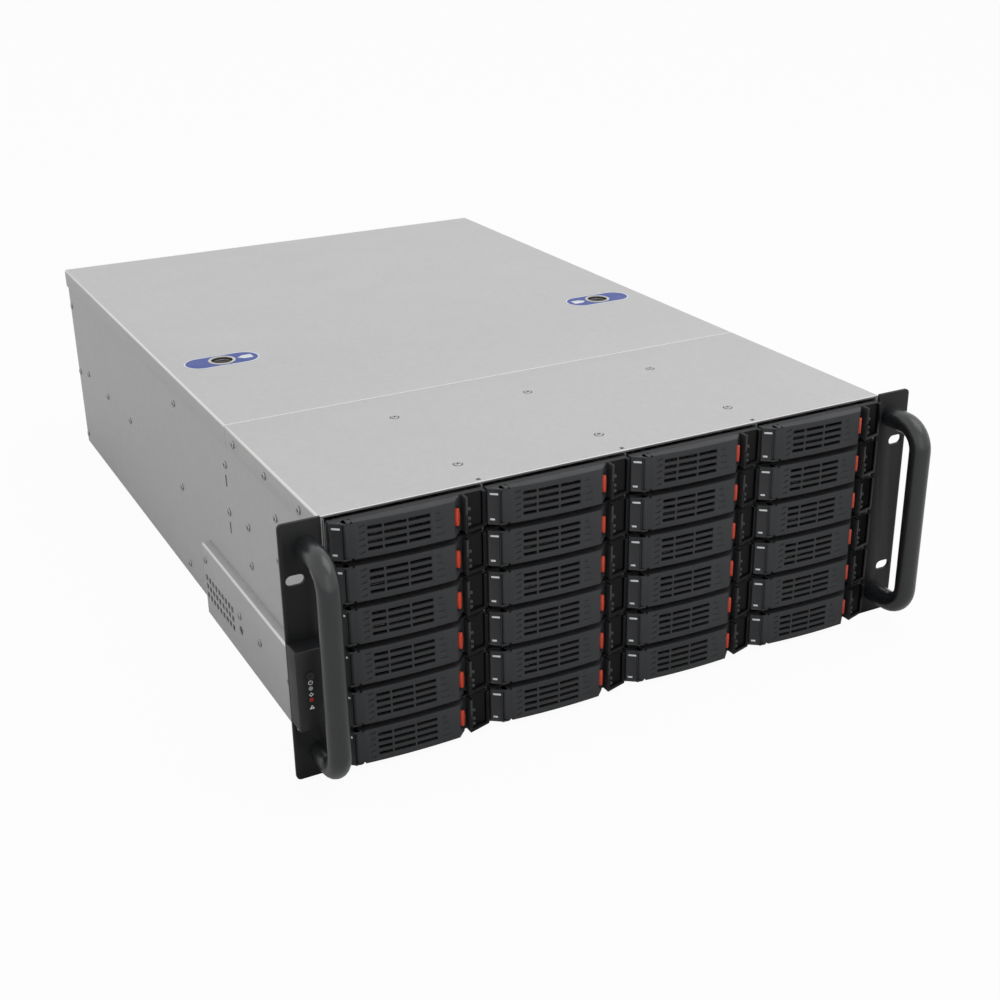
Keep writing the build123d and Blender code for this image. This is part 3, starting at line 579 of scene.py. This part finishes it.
def makeRearCover():
    top, rear, y = coverTop, cover["rear"], cover["latchY"]
    lid = foldLid(cover["seam"] + cover["gap"], rear)
    cutters = []
    for side in (-1, 1):
        x = side * cover["latchX"]
        cutters.append(startRod("hole", (x, y, top - 3), (x, y, top + 2), cover["latchHole"], 48))
    cutWith(lid, cutters)
    end = cover["half"] - cover["lipIn"]
    lip = startBox("lip", (-end, rear - cover["gauge"], top - cover["lip"]), (end, rear, top - cover["lipDrop"]))
    lid = smoothOver(joinAll([lid, roundEdges(lip, cover["lipEdge"])], "lid"))
    # painted highlight: the upward facing bends and rounded edges near the top get the near-white finish
    paintFaces(lid, galvanisedSteel, edgePaintedHighlight, isLidBend)
    finishPiece(lid, "rearCoverSheet", "rear_cover", None, ["rear_cover"])


duct = {"front": 3.7, "rear": 247.0, "height": 60.0, "width": 7.0, "gauge": 1.0, "bend": 1.4, "bendZone": 2,
        "edge": 0.15, "vent": 5.0, "pitch": 7.5, "ventRear": 241.0, "ventLow": 18.0, "columns": 9, "rows": 3,
        "hole": (163.0, 24.0, 3.6),
        "screws": ((240.0, 48.0), (163.0, 36.0), (120.0, 35.0), (62.0, 34.0))}


def makeDuct():
    outer, high, gauge = -wallOuter - duct["width"], duct["height"], duct["gauge"]
    shell = startBox("duct", (outer, duct["front"], 0), (-wallOuter, duct["rear"], high))
    bendEdges(shell, lambda spot, way: spot.x < outer + 0.1 and spot.y > duct["front"] + 1, duct["bend"], 4)
    cutWith(shell, [startBox(
        "hollow", (outer + gauge, 0, gauge), (-wallOuter + 2, duct["rear"] - gauge, high - gauge))])
    roundEdges(shell, duct["edge"], 2, 60)
    cutters = []
    reach = duct["vent"] / 2
    for column in range(duct["columns"]):
        for row in range(duct["rows"]):
            y = duct["ventRear"] - column * duct["pitch"]
            z = duct["ventLow"] + row * duct["pitch"]
            cutters.append(startBox("vent", (outer - 1, y - reach, z - reach), (outer + 2, y + reach, z + reach)))
    y, z, radius = duct["hole"]
    cutters.append(startRod("hole", (outer - 1, y, z), (outer + 2, y, z), radius))
    cutWith(shell, cutters)
    # painted highlight: the duct's upper outer bend gets the near-white finish
    paintFaces(shell, galvanisedSteel, edgePaintedHighlight,
               lambda spot, normal: spot.z > high - duct["bendZone"] and isBend(normal) and normal.x < 0)
    finishPiece(smoothOver(shell), "ductShell", "case", None, ["side_duct"])


makeTub()
makeFrontCover()
makeRearCover()
makeDuct()
print("sheet metal folded")


# Cover latches: printed labels, pressed cups and the buttons in them

label = {"length": 60.0, "width": 27.0, "sheet": 0.2, "rim": 1.2, "hole": 10.8, "markStart": 24.5,
         "markShoulder": 17.2, "markTip": 12.6, "markHalf": 4.0, "markSink": 0.02, "markSheet": 0.06}
cup = {"bore": 8.3, "wall": 1.7, "rim": 0.6, "rimSheet": 0.5, "depth": 9.0, "lift": 0.2, "floor": 1,
       "stemGap": 0.3, "edge": 0.2}
knob = {"recess": 1.5, "length": 3.7, "radius": 7.9, "drop": 0.15, "plugIn": 0.7, "boreIn": 0.75, "dishRim": 1.2,
        "dish": 0.3, "plugEdge": 0.35, "sleeveEdge": 0.2, "stem": 4.0, "stemReach": 15.0, "stemEdge": 0.3}


def makeLabel(side):
    x, y = side * cover["latchX"], cover["latchY"]
    outline = ovalPoints((x, y, coverTop), (1, 0, 0), (0, 1, 0), label["length"], label["width"], 16)
    plate = drawOutline("label", outline, (0, 0, label["sheet"]))
    plate.data.materials.append(labelWhite)
    plate.data.materials.append(labelFilm)
    selectWhere(plate, "FACE", lambda spot, normal: normal.z > mostly)
    bpy.ops.mesh.inset(thickness=label["rim"] * mm, depth=0)
    plate.active_material_index = 1
    bpy.ops.object.material_slot_assign()
    setMode("OBJECT")
    cutWith(plate, [startRod("hole", (x, y, coverTop - 1), (x, y, coverTop + 1), label["hole"], 48)])
    top = coverTop + label["sheet"] - label["markSink"]
    start, shoulder, tip = [x - side * label[key] for key in ("markStart", "markShoulder", "markTip")]
    low, high = y - label["markHalf"], y + label["markHalf"]
    mark = drawOutline("mark", [(start, low, top), (shoulder, low, top), (tip, y, top), (shoulder, high, top),
                                (start, high, top)], (0, 0, label["markSheet"]))
    mark.data.materials.append(labelWhite)
    return joinAll([plate, mark], "label")


def makeCup(side):
    x, y = side * cover["latchX"], cover["latchY"]
    low = coverTop - cup["depth"]
    outer = cup["bore"] + cup["wall"]
    shell = startRod("cup", (x, y, low), (x, y, coverTop + cup["lift"]), outer, 48)
    flange = startRod("flange", (x, y, coverTop), (x, y, coverTop + cup["rimSheet"]), outer + cup["rim"], 48)
    for part in (shell, flange):
        cutWith(part, [startRod("bore", (x, y, low + cup["floor"]), (x, y, coverTop + 3), cup["bore"], 48),
                       startRod("stemHole", (x, y, low - 1), (x, y, low + 2), knob["stem"] + cup["stemGap"], 32)])
        roundEdges(part, cup["edge"], 2, 50)
    shell = joinAll([shell, flange], "cup")
    inside = cup["bore"] + 0.1

    def isBore(spot, normal):
        return math.hypot(spot.x - x, spot.y - y) < inside and abs(normal.z) < 0.2

    # painted shade: the cup's bore gets the button black instead of nickel, for the shadow inside the cup
    paintFaces(shell, latchNickel, buttonBlackAndBoreShade, isBore)
    return shell


def makeLatchButton(side, name):
    x, y = side * cover["latchX"], cover["latchY"]
    top = coverTop - knob["recess"]
    low = top - knob["length"]
    plug = startRod("plug", (x, y, low), (x, y, top - knob["drop"]), knob["radius"] - knob["plugIn"], 48)
    sinkFace(plug, lambda spot, normal: normal.z > mostly, knob["dishRim"], knob["dish"])
    roundEdges(plug, knob["plugEdge"], 3, 50)
    sleeve = startRod("sleeve", (x, y, low), (x, y, top), knob["radius"], 48)
    cutWith(sleeve, [startRod("bore", (x, y, top - 5), (x, y, top + 2), knob["radius"] - knob["boreIn"], 48)])
    roundEdges(sleeve, knob["sleeveEdge"], 2, 50)
    sleeve.data.materials.append(latchNickel)
    stem = startRod("stem", (x, y, top - knob["stemReach"]), (x, y, low), knob["stem"], 24)
    plug = joinAll([plug, roundEdges(stem, knob["stemEdge"])], "plug")
    plug.data.materials.append(buttonBlackAndBoreShade)
    plug = joinAll([plug, sleeve], "plug")
    body = "latch_button_" + name
    finishPiece(plug, "latchPlug" + name.title(), body, None, [body])


labels = smoothOver(joinAll([makeLabel(-1), makeLabel(1)], "labels"))
finishPiece(labels, "latchLabels", "rear_cover", None, ["latch_labels"])
cups = joinAll([makeCup(-1), makeCup(1)], "cups")
finishPiece(cups, "latchCups", "rear_cover", None, ["latch_cups"])
makeLatchButton(-1, "left")
makeLatchButton(1, "right")
print("latches made")


# Rack ears and their tube handles

ear = {"inner": 214.1, "outer": 241.3, "gauge": 2.5, "height": 177.0, "corner": 3.0, "edge": 0.3,
       "slotX": 232.55, "slotZ": (37.7, 139.3), "slotLength": 12.0, "slotWidth": 7.0}
grip = {"x": 224.5, "radius": 7.5, "reach": 34.0, "low": 17.5, "high": 159.5, "bend": 17.0, "sides": 32, "steps": 10}


def makeEar(side, name):
    plate = startBox("ear", (side * ear["inner"], 0, 0), (side * ear["outer"], ear["gauge"], ear["height"]))
    bendEdges(plate, lambda spot, way: abs(way.y) > mostly and side * spot.x > ear["outer"] - 1, ear["corner"], 6)
    cutters = []
    for z in ear["slotZ"]:
        middle = (side * ear["slotX"], -1, z)
        outline = ovalPoints(middle, (1, 0, 0), (0, 0, 1), ear["slotLength"], ear["slotWidth"], 12)
        cutters.append(drawOutline("slot", outline, (0, ear["gauge"] + 2, 0)))
    cutWith(plate, cutters)
    roundEdges(plate, ear["edge"], 2, 50)
    finishPiece(plate, "earPlate" + name.title(), "case", earCoat, ["rack_ear_" + name])


def makeHandle(side, name):
    x, low, high, bend = side * grip["x"], grip["low"], grip["high"], grip["bend"]
    bendY = bend - grip["reach"]
    turn = {"steps": grip["steps"], "angle": -math.pi / 2, "axis": (1, 0, 0)}
    deselectAll()
    bpy.ops.mesh.primitive_circle_add(
        vertices=grip["sides"], radius=grip["radius"] * mm, fill_type="NGON",
        location=toFrame(x, 0, high), rotation=(math.pi / 2, 0, 0))
    tube = bpy.context.object
    applyPlace()
    setMode("EDIT")
    selectMesh("SELECT")
    extrudeBy((0, bendY * mm, 0))
    bpy.ops.mesh.spin(center=toFrame(x, bendY, high - bend), **turn)
    extrudeBy((0, 0, (low - high + 2 * bend) * mm))
    bpy.ops.mesh.spin(center=toFrame(x, bendY, low + bend), **turn)
    extrudeBy((0, -bendY * mm, 0))
    selectMesh("SELECT")
    bpy.ops.mesh.remove_doubles(threshold=weld * mm)
    bpy.ops.mesh.normals_make_consistent(inside=False)
    setMode("OBJECT")
    tube = smoothOver(tube, 40)
    finishPiece(tube, "handleTube" + name.title(), "case", handlePaint, ["handle_" + name])


for side, name in ((-1, "left"), (1, "right")):
    makeEar(side, name)
    makeHandle(side, name)
print("ears and handles made")


# Control panel on the left ear

panel = {"outer": -241.3, "inner": -217.0, "depth": 14.0, "low": 43.0, "high": 98.5, "round": 0.9, "wall": 1.6,
         "gap": 0.2, "buttonZ": 81.3, "outerX": -232.7, "innerX": -222.4, "powerRadius": 2.6, "resetRadius": 1.7,
         "capBack": -10.0, "capProud": 0.9, "capRim": 0.5, "capDish": 0.2, "capEdge": 0.2,
         "collar": (-11.0, -12.2), "collarRim": 1, "collarEdge": 0.15,
         "lampRadius": 1.4, "lampSwell": 0.05, "lampBack": -13.0, "lampProud": 0.35, "lampEdge": 0.5,
         "lamps": ((-232.7, 72.2, "clear"), (-232.7, 64.3, "red"), (-222.4, 72.6, "clear"), (-222.4, 64.6, "clear"))}


def makePanel():
    front, wall = -panel["depth"], panel["wall"]
    housing = startBox("panel", (panel["outer"], front, panel["low"]), (panel["inner"], 0, panel["high"]))
    bendEdges(housing, lambda spot, way: spot.y < 0.1 + front or abs(way.y) > mostly, panel["round"], 3)
    cutters = [startBox("hollow", (panel["outer"] + wall, wall + front, panel["low"] + wall),
                        (panel["inner"] - wall, 3, panel["high"] - wall))]
    holes = [(panel["outerX"], panel["buttonZ"], panel["powerRadius"]),
             (panel["innerX"], panel["buttonZ"], panel["resetRadius"])]
    holes += [(x, z, panel["lampRadius"]) for x, z, tint in panel["lamps"]]
    for x, z, radius in holes:
        cutters.append(startRod("hole", (x, front - 1, z), (x, wall + front + 1, z), radius + panel["gap"], 32))
    cutWith(housing, cutters)
    finishPiece(smoothOver(housing), "panelHousing", "case", panelPlastic, ["control_panel"])


def makePanelButton(name, x, radius):
    z = panel["buttonZ"]
    cap = startRod("cap", (x, panel["capBack"], z), (x, -panel["depth"] - panel["capProud"], z), radius, 32)
    sinkFace(cap, lambda spot, normal: normal.y < -mostly, panel["capRim"], panel["capDish"])
    roundEdges(cap, panel["capEdge"], 2, 50)
    back, front = panel["collar"]
    collar = startRod("collar", (x, back, z), (x, front, z), radius + panel["collarRim"], 32)
    cap = joinAll([cap, roundEdges(collar, panel["collarEdge"])], "cap")
    finishPiece(cap, name.split("_")[0] + "Cap", name, blackNylon, [name])


def makeLamps(tint, finish):
    domes = []
    front, radius = -panel["depth"] - panel["lampProud"], panel["lampRadius"] + panel["lampSwell"]
    for x, z, colour in panel["lamps"]:
        if colour == tint:
            dome = startRod("dome", (x, panel["lampBack"], z), (x, front, z), radius, 24)
            domes.append(roundEdges(dome, panel["lampEdge"], 4, 50))
    finishPiece(joinAll(domes, "lamps"), "panelLamps" + tint.title(), "case", finish)


# printed signs, drawn round their own middles; through: how far cutters reach in y
sign = {"proud": 0.06, "sunk": 0.1, "through": (-16, -12), "powerZ": 76.3, "ring": (1.5, 1.1),
        "ringGap": (-0.5, 0.5, 0.6, 2), "bar": (-0.2, 0.2, 0.3, 1.7),
        "diamondZ": 68.0, "diamond": ((-1.5, 0), (0, -1.5), (1.5, 0), (0, 1.5)), "diamondHole": 0.7,
        "triangleZ": 59.2, "triangle": ((-1.7, -1.3), (1.7, -1.3), (0, 1.6)), "triangleGap": (-0.2, 0.2, -0.6, 0.7),
        "ovalZ": 76.8, "oval": (3.6, 1.8), "ovalHole": 0.55,
        "networkZ": (68.3, 59.6), "dots": ((-1.1, -0.8), (1.1, -0.8), (0, 0.9)), "dot": (0.6, 0.15),
        "links": ((-0.12, 0.12, -0.2, 0.5), (-1.1, 1.1, -0.25, -0.05))}


def flatRing(x, z, outer, inner):
    front = -panel["depth"]
    ring = startRod("ring", (x, front - sign["proud"], z), (x, front + sign["sunk"], z), outer, 24)
    return cutWith(ring, [startRod("hole", (x, front - 1, z), (x, front + 1, z), inner, 24)])


def flatBar(x, z, sides):
    front = -panel["depth"]
    left, right, low, high = sides
    return startBox("bar", (x + left, front - sign["proud"], z + low), (x + right, sign["sunk"] + front, z + high))


def flatShape(points):
    return drawOutline("shape", points, (0, sign["proud"] + sign["sunk"], 0))


def pierce(piece, x, z, radius):
    near, far = sign["through"]
    return cutWith(piece, [startRod("hole", (x, near, z), (x, far, z), radius, 16)])


def makeMarks():
    x, z = panel["outerX"], sign["powerZ"]  # ring with a bar: on and off
    marks = [cutWith(flatRing(x, z, *sign["ring"]), [flatBar(x, z, sign["ringGap"])]), flatBar(x, z, sign["bar"])]
    z = sign["diamondZ"]  # the outer lamp's sign
    front = -panel["depth"] - sign["proud"]
    diamond = flatShape([(x + right, front, z + rise) for right, rise in sign["diamond"]])
    marks.append(pierce(diamond, x, z, sign["diamondHole"]))
    z = sign["triangleZ"]  # warning
    triangle = flatShape([(x + right, front, z + rise) for right, rise in sign["triangle"]])
    left, right, low, high = sign["triangleGap"]
    near, far = sign["through"]
    marks.append(cutWith(triangle, [startBox("gap", (x + left, near, z + low), (x + right, far, z + high))]))
    x, z = panel["innerX"], sign["ovalZ"]
    oval = flatShape(ovalPoints((x, front, z), (1, 0, 0), (0, 0, 1), *sign["oval"]))
    marks.append(pierce(oval, x, z, sign["ovalHole"]))
    for z in sign["networkZ"]:  # three joined dots
        marks += [flatRing(x + right, z + rise, *sign["dot"]) for right, rise in sign["dots"]]
        marks += [flatBar(x, z, link) for link in sign["links"]]
    finishPiece(joinAll(marks, "marks"), "panelMarks", "case", whitePrint)


makePanel()
makePanelButton("power_button", panel["outerX"], panel["powerRadius"])
makePanelButton("reset_button", panel["innerX"], panel["resetRadius"])
makeLamps("clear", lampClear)
makeLamps("red", lampRed)
makeMarks()
print("control panel made")


# Screws: one pan head with a cross, copied to every place

screw = {"radius": 2.8, "height": 1.1, "cross": 0.75, "crossLength": 3.0, "crossDepth": 0.7, "coverRise": 0.45,
         "rim": 0.9, "round": 0.45, "wingX": 219.8, "wingY": 3.7,
         "wall": ((654, 142), (654, 76), (654, 11), (617, 84), (543, 84), (465, 86), (312, 150), (312, 80), (312, 13),
                  (188, 143), (188, 106.5), (145.5, 111.5), (145.5, 82), (85, 142), (85, 111.6)),
         "flange": ((161, 167.5), (98, 167.5), (35, 167.5)), "wing": (70.0, 125.0, 168.0)}


def makeScrews():
    head = startRod("head", (0, 0, 0), (0, 0, screw["height"]), screw["radius"], 20)
    selectWhere(head, "FACE", lambda spot, normal: normal.z > mostly)
    bpy.ops.mesh.inset(thickness=screw["rim"] * mm, depth=0)
    selectMesh("DESELECT")
    setMode("OBJECT")
    roundEdges(head, screw["round"], 3, 50)
    arm, reach = screw["cross"] / 2, screw["crossLength"] / 2
    low = screw["height"] - screw["crossDepth"]
    cutWith(head, [startBox("arm", (-arm, -reach, low), (arm, reach, 3)),
                   startBox("arm", (-reach, -arm, low), (reach, arm, 3))])
    smoothOver(head)
    shift = Matrix.Translation(-toFrame(0, 0, 0))

    def placeHead(spot, way, turn):  # no two crosses in a row stand alike
        facing = Vector(way).to_track_quat("Z", "Y").to_matrix().to_4x4()
        place = Matrix.Translation(toFrame(*spot)) @ facing @ Matrix.Rotation(turn, 4, "Z") @ shift
        return copyPiece(head, "screw", place)

    heads = []
    for side in (-1, 1):
        for count, (y, z) in enumerate(screw["wall"]):
            heads.append(placeHead((side * wallOuter, y, z), (side, 0, 0), 0.7 * count))
        for count, (y, z) in enumerate(screw["flange"]):
            heads.append(placeHead((side * cover["half"], y, z), (side, 0, 0), 0.4 + count))
        for count, z in enumerate(screw["wing"]):
            heads.append(placeHead((side * screw["wingX"], screw["wingY"], z), (0, 1, 0), count))
    for count, (y, z) in enumerate(duct["screws"]):
        heads.append(placeHead((-wallOuter - duct["width"], y, z), (-1, 0, 0), 0.5 * count))
    for x in cover["screwX"]:
        for y in cover["screwY"]:
            heads.append(placeHead((x, y, coverTop - screw["height"] + screw["coverRise"]), (0, 0, 1), x + y))
    bpy.data.objects.remove(head)
    finishPiece(joinAll(heads, "screws"), "caseScrewHeads", "case", screwZinc, ["case_screws"])


makeScrews()
print("screws placed")


# Drive trays, laid out from the bezel's left edge and the row's ledge, then copied to 24 places

# shared by the parts of a tray: the hinge's x and y, and plate, the front of the bezel's back plate
tray = {"columns": 4, "rows": 6, "columnPitch": 106.0, "rowPitch": 28.9, "floor": 2.0, "width": 104.0,
        "low": 2.2, "high": 26.7, "plate": -3.0, "hinge": (10.0, -6.2), "barrel": 2.8, "knuckle": 1.0}
trayMiddle = (tray["low"] + tray["high"]) / 2
ahead = -16  # in front of everything on a tray
up = Vector((0, 0, 1))

sled = {"x": (-0.1, 104.1), "y": (2.2, 152.5), "z": (0.3, 18.3), "gauge": 1.0, "bend": 0.8,
        "flangeY": (1.2, 2.2), "flangeTop": 24.7, "window": (17.5, 67.5, 6.2, 22.7), "flangeEdge": 0.15,
        "pin": 1.0, "pinIn": 0.4, "pinEdge": 0.2}


def makeCarrier():
    (left, right), (low, high) = sled["x"], sled["z"]
    floor = foldSheet("carrier", [(left, high), (left, low), (right, low), (right, high)],
                      sled["y"], sled["gauge"], sled["bend"])
    near, far = sled["flangeY"]
    flange = startBox("flange", (left, near, low), (right, far, sled["flangeTop"]))
    x0, x1, z0, z1 = sled["window"]
    cutWith(flange, [startBox("window", (x0, 0, z0), (x1, 4, z1))])
    x, y = tray["hinge"]
    pin = startRod("pin", (x, y, tray["low"] + sled["pinIn"]), (x, y, tray["high"] - sled["pinIn"]), sled["pin"], 16)
    return smoothOver(joinAll(
        [floor, roundEdges(flange, sled["flangeEdge"]), roundEdges(pin, sled["pinEdge"])], "carrier"))


fascia = {"back": 1.2, "edge": 0.3, "window": (18.5, 66.5, 5.2, 23.7), "facet": ((0.0, -3.6), (6.6, -8.6)),
          "facetRim": 0.7, "facetDepth": 0.5, "knuckleIn": 0.5, "knuckleProud": 0.3, "knuckleEdge": 0.15,
          "grip": ((87.8, -10.0), (104.0, -5.2)), "gripEdge": 0.25, "hollow": (89.6, 101.4, -3.7), "hollowLip": 2.4,
          "slit": (3, 2.2, 0.4), "ribs": (-7.0, -3.2, 3.2), "ribRadius": 1.3, "ribIn": 2.4, "ribEdge": 0.3}


def facetY(x):
    (x0, y0), (x1, y1) = fascia["facet"]
    return y0 + (y1 - y0) * (x - x0) / (x1 - x0)


def drawBlock(corners):
    (x0, y0), (x1, y1) = corners
    low, back = tray["low"], tray["plate"]
    points = [(x0, back, low), (x0, y0, low), (x1, y1, low), (x1, back, low)]
    return drawOutline("block", points, (0, 0, tray["high"] - low))


def makeBezel():
    low, high = tray["low"], tray["high"]
    plate = startBox("plate", (0, tray["plate"], low), (tray["width"], fascia["back"], high))
    x0, x1, z0, z1 = fascia["window"]
    cutWith(plate, [startBox("window", (x0, -5, z0), (x1, 3, z1))])
    roundEdges(plate, fascia["edge"])
    block = drawBlock(fascia["facet"])
    sinkFace(block, lambda spot, normal: normal.x < -0.3 and normal.y < -0.3,
             fascia["facetRim"], fascia["facetDepth"])
    roundEdges(block, fascia["edge"])
    parts = [plate, block]
    x, y = tray["hinge"]
    leafStart = fascia["facet"][1][0] - fascia["knuckleIn"]
    for a, b in ((low, low + tray["knuckle"]), (high - tray["knuckle"], high)):
        leaf = startBox("leaf", (leafStart, y - tray["barrel"], a), (x, tray["plate"], b))
        parts.append(roundEdges(leaf, fascia["knuckleEdge"]))
        knuckle = startRod("knuckle", (x, y, a), (x, y, b), tray["barrel"] + fascia["knuckleProud"], 32)
        parts.append(roundEdges(knuckle, fascia["knuckleEdge"]))
    x0, y0 = fascia["grip"][0]
    block = drawBlock(fascia["grip"])
    left, right, floor = fascia["hollow"]
    slitX, slitY, slitZ = fascia["slit"]
    cutWith(block, [
        startBox("hollow", (left, y0 - 4, low + fascia["hollowLip"]), (right, floor, high + 2)),
        startBox("slit", (x0 - 1, y0 - 2, trayMiddle - slitZ), (x0 + slitX, y0 + slitY, trayMiddle + slitZ))])
    roundEdges(block, fascia["gripEdge"], 2, 40)

    def isHollow(spot, normal):
        return left - 0.2 < spot.x < right + 0.2 and spot.z > low + 2 and spot.y > y0 + 1

    # painted shade: the faces inside the grip hollow get the near-black finish
    paintFaces(block, trayPlastic, hollowPaintedShade, isHollow)
    ribEnd, y = left + fascia["ribIn"], y0 + fascia["ribIn"]
    for rise in fascia["ribs"]:  # finger ribs inside the hollow, next to the button
        z = trayMiddle + rise
        rib = startRod("rib", (left - 1, y, z), (ribEnd, y, z), fascia["ribRadius"], 16)
        parts.append(roundEdges(rib, fascia["ribEdge"], 2, 50))
    for part in parts:
        part.data.materials.append(trayPlastic)
    return joinAll(parts + [block], "bezel")


arm = {"bow": 1.4, "bowSteps": 14, "noseStart": (79.2, -11.4), "noseEnd": (85.6, -5.0), "back": -3.4, "edge": 0.22,
       "knuckleGap": 0.15, "barrelGap": 3.2, "barrelEdge": 0.2, "pocket": (14.8, 72.5, -8.0), "pocketWall": 1.6,
       "slotRows": 4, "slotX": (21.5, 32.0, 47.75, 63.5), "slotBack": -5, "slotPitch": 4.7, "slotHeight": 2.4,
       "rib": 1.2, "dashRight": (66.2, 72.4, -11.3), "dashHeight": 0.9, "dashStep": 1.1,
       "dashLeft": (16.4, 20.2, -9.3), "dashRows": 5, "dashPitch": 4.4, "dashEnds": (-1.0, 0, 0.9, -0.1),
       "noseGap": 3, "dish": (15.6, 7.6, 3.7), "bore": (12.6, 5.6, 9.1)}
(startX, startY), (endX, endY) = arm["noseStart"], arm["noseEnd"]
noseMiddle = Vector(((startX + endX) / 2, (startY + endY) / 2, trayMiddle))
noseIn = Vector((-math.sqrt(0.5), math.sqrt(0.5), 0))
noseAlong = Vector((math.sqrt(0.5), math.sqrt(0.5), 0))


def outlineLever():
    # the front bows out a little from the hinge to the nose
    x, y = tray["hinge"]
    low, back, steps = tray["low"], arm["back"], arm["bowSteps"]
    front = y - tray["barrel"]
    points = []
    for step in range(steps + 1):
        t = step / steps
        points.append((x + (startX - x) * t, front + (startY - front) * t - 4 * arm["bow"] * t * (1 - t), low))
    return points + [(endX, endY, low), (endX, back, low), (x, back, low)]


def makeLever():
    low, high = tray["low"], tray["high"]
    x, y = tray["hinge"]
    body = drawOutline("lever", outlineLever(), (0, 0, high - low))
    gap, reach = tray["knuckle"] + arm["knuckleGap"], arm["barrelGap"]
    cutters = []
    for a, b in ((low - 1, low + gap), (high - gap, high + 1)):
        cutters.append(startBox("barrelGap", (x - reach, ahead, a), (x + reach, 0, b)))
    x0, x1, y0 = arm["pocket"]
    cutters.append(startBox("pocket", (x0, y0, low + arm["pocketWall"]), (x1, 0, high - arm["pocketWall"])))
    cutWith(body, cutters)
    cutters = []
    rib, tall, thin = arm["rib"] / 2, arm["slotHeight"] / 2, arm["dashHeight"] / 2
    x0, x1, y1 = arm["dashRight"]
    for row in range(arm["slotRows"]):
        z = trayMiddle + (row - (arm["slotRows"] - 1) / 2) * arm["slotPitch"]
        for left, right in zip(arm["slotX"], arm["slotX"][1:]):
            cutters.append(startBox("slot", (left + rib, ahead, z - tall), (right - rib, arm["slotBack"], z + tall)))
        cutters.append(startBox("dash", (x0, ahead, z - thin), (x1 - arm["dashStep"] * row, y1, z + thin)))
    cutWith(body, cutters)
    cutters = []
    x0, x1, y1 = arm["dashLeft"]
    a, b, c, d = arm["dashEnds"]
    for row in range(arm["dashRows"]):  # short slanted dashes next to the hinge
        z = trayMiddle + (row - (arm["dashRows"] - 1) / 2) * arm["dashPitch"]
        points = [(x0, ahead, z + a), (x1, ahead, z + b), (x1, ahead, z + c), (x0, ahead, z + d)]
        cutters.append(drawOutline("dash", points, (0, y1 - ahead, 0)))
    cutWith(body, cutters)
    start = noseMiddle - noseIn * arm["noseGap"]
    cutters = []
    for length, width, depth in (arm["dish"], arm["bore"]):
        outline = ovalPoints(start, up, noseAlong, length, width, 12)
        cutters.append(drawOutline("hollow", outline, noseIn * depth))
    cutWith(body, cutters)
    roundEdges(body, arm["edge"], 2, 40)
    barrel = startRod("barrel", (x, y, low + gap), (x, y, high - gap), tray["barrel"], 32)
    return joinAll([body, roundEdges(barrel, arm["barrelEdge"])], "lever")


key = {"width": 5.3, "height": 12.0, "length": 4.6, "proud": 1.4, "steps": 28, "edge": 0.7}


def makeRelease():
    start = noseMiddle - noseIn * key["proud"]
    points = []
    for step in range(key["steps"]):  # an ellipse rather than a stadium
        turn = 2 * math.pi * step / key["steps"]
        rise = up * math.cos(turn) * key["height"] / 2
        points.append(start + rise + noseAlong * math.sin(turn) * key["width"] / 2)
    button = drawOutline("release", points, noseIn * key["length"])
    return roundEdges(button, key["edge"], 4, 50)


pipe = {"spots": ((1.4, 5.6, 22.5, 23.7), (1.4, 3.8, 5.2, 6.4)), "edge": 0.12}


def makePipes():
    bars = []
    back = tray["plate"]
    for x0, x1, z0, z1 in pipe["spots"]:
        points = [(x0, back, z0), (x0, facetY(x0), z0), (x1, facetY(x1), z0), (x1, back, z0)]
        bars.append(roundEdges(drawOutline("pipe", points, (0, 0, z1 - z0)), pipe["edge"]))
    return joinAll(bars, "pipes")


def makeTrays():
    carrier, bezel, lever, release, pipes = makeCarrier(), makeBezel(), makeLever(), makeRelease(), makePipes()
    for row in range(tray["rows"]):
        for column in range(tray["columns"]):
            spot = f"r{row + 1}_c{column + 1}"
            body = "tray_" + spot
            left = (column - (tray["columns"] - 1) / 2) * tray["columnPitch"] - tray["width"] / 2
            place = Matrix.Translation(Vector((left, 0, tray["floor"] + row * tray["rowPitch"])) * mm)
            front = copyPiece(bezel, "bezel", place)
            handle = copyPiece(lever, "lever", place)
            button = copyPiece(release, "release", place)
            sheet, lights = copyPiece(carrier, "carrier", place), copyPiece(pipes, "pipes", place)
            finishPiece(sheet, "carrier_" + spot, body, galvanisedSteel)
            finishPiece(lights, "pipes_" + spot, body, pipeAcrylic)
            buttonBody, buttonStands = body, ()
            if row < tray["rows"] - 1:  # here the CAD has lever and button in the tray's own node
                handle.data.materials.append(trayPlastic)
                front = joinAll([front, handle], "front")
            else:
                leverBody, buttonBody = "lever_" + spot, "release_" + spot
                buttonStands = [buttonBody]
                finishPiece(handle, "leverFront_" + spot, leverBody, trayPlastic, [leverBody])
            finishPiece(button, "redButton_" + spot, buttonBody, redPlastic, buttonStands)
            finishPiece(front, "bezel_" + spot, body, None, ["tray_" + spot])
    for master in (carrier, bezel, lever, release, pipes):
        bpy.data.objects.remove(master)


makeTrays()
print("trays made")


# CAD nodes that keep their own shape

def dressNode(name, finish):
    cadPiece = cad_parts[name]
    if not cadPiece.data.materials:
        cadPiece.data.materials.append(finish)
    for holder in cadPiece.material_slots:
        holder.material = finish


dressing = ((galvanisedSteel, ("rear_panel", "slot_covers", "fan_wall")),
            (cageSteel, ("drive_cage",)),
            (turnedBrass, ("standoffs",)),
            (solderMask, ("backplanes", "panel_board")),
            (blackNylon, ("backplane_connectors", "fan_frames",
                          "fan_rotor_left", "fan_rotor_middle", "fan_rotor_right")))
for finish, names in dressing:
    for name in names:
        dressNode(name, finish)
print("inside pieces dressed")
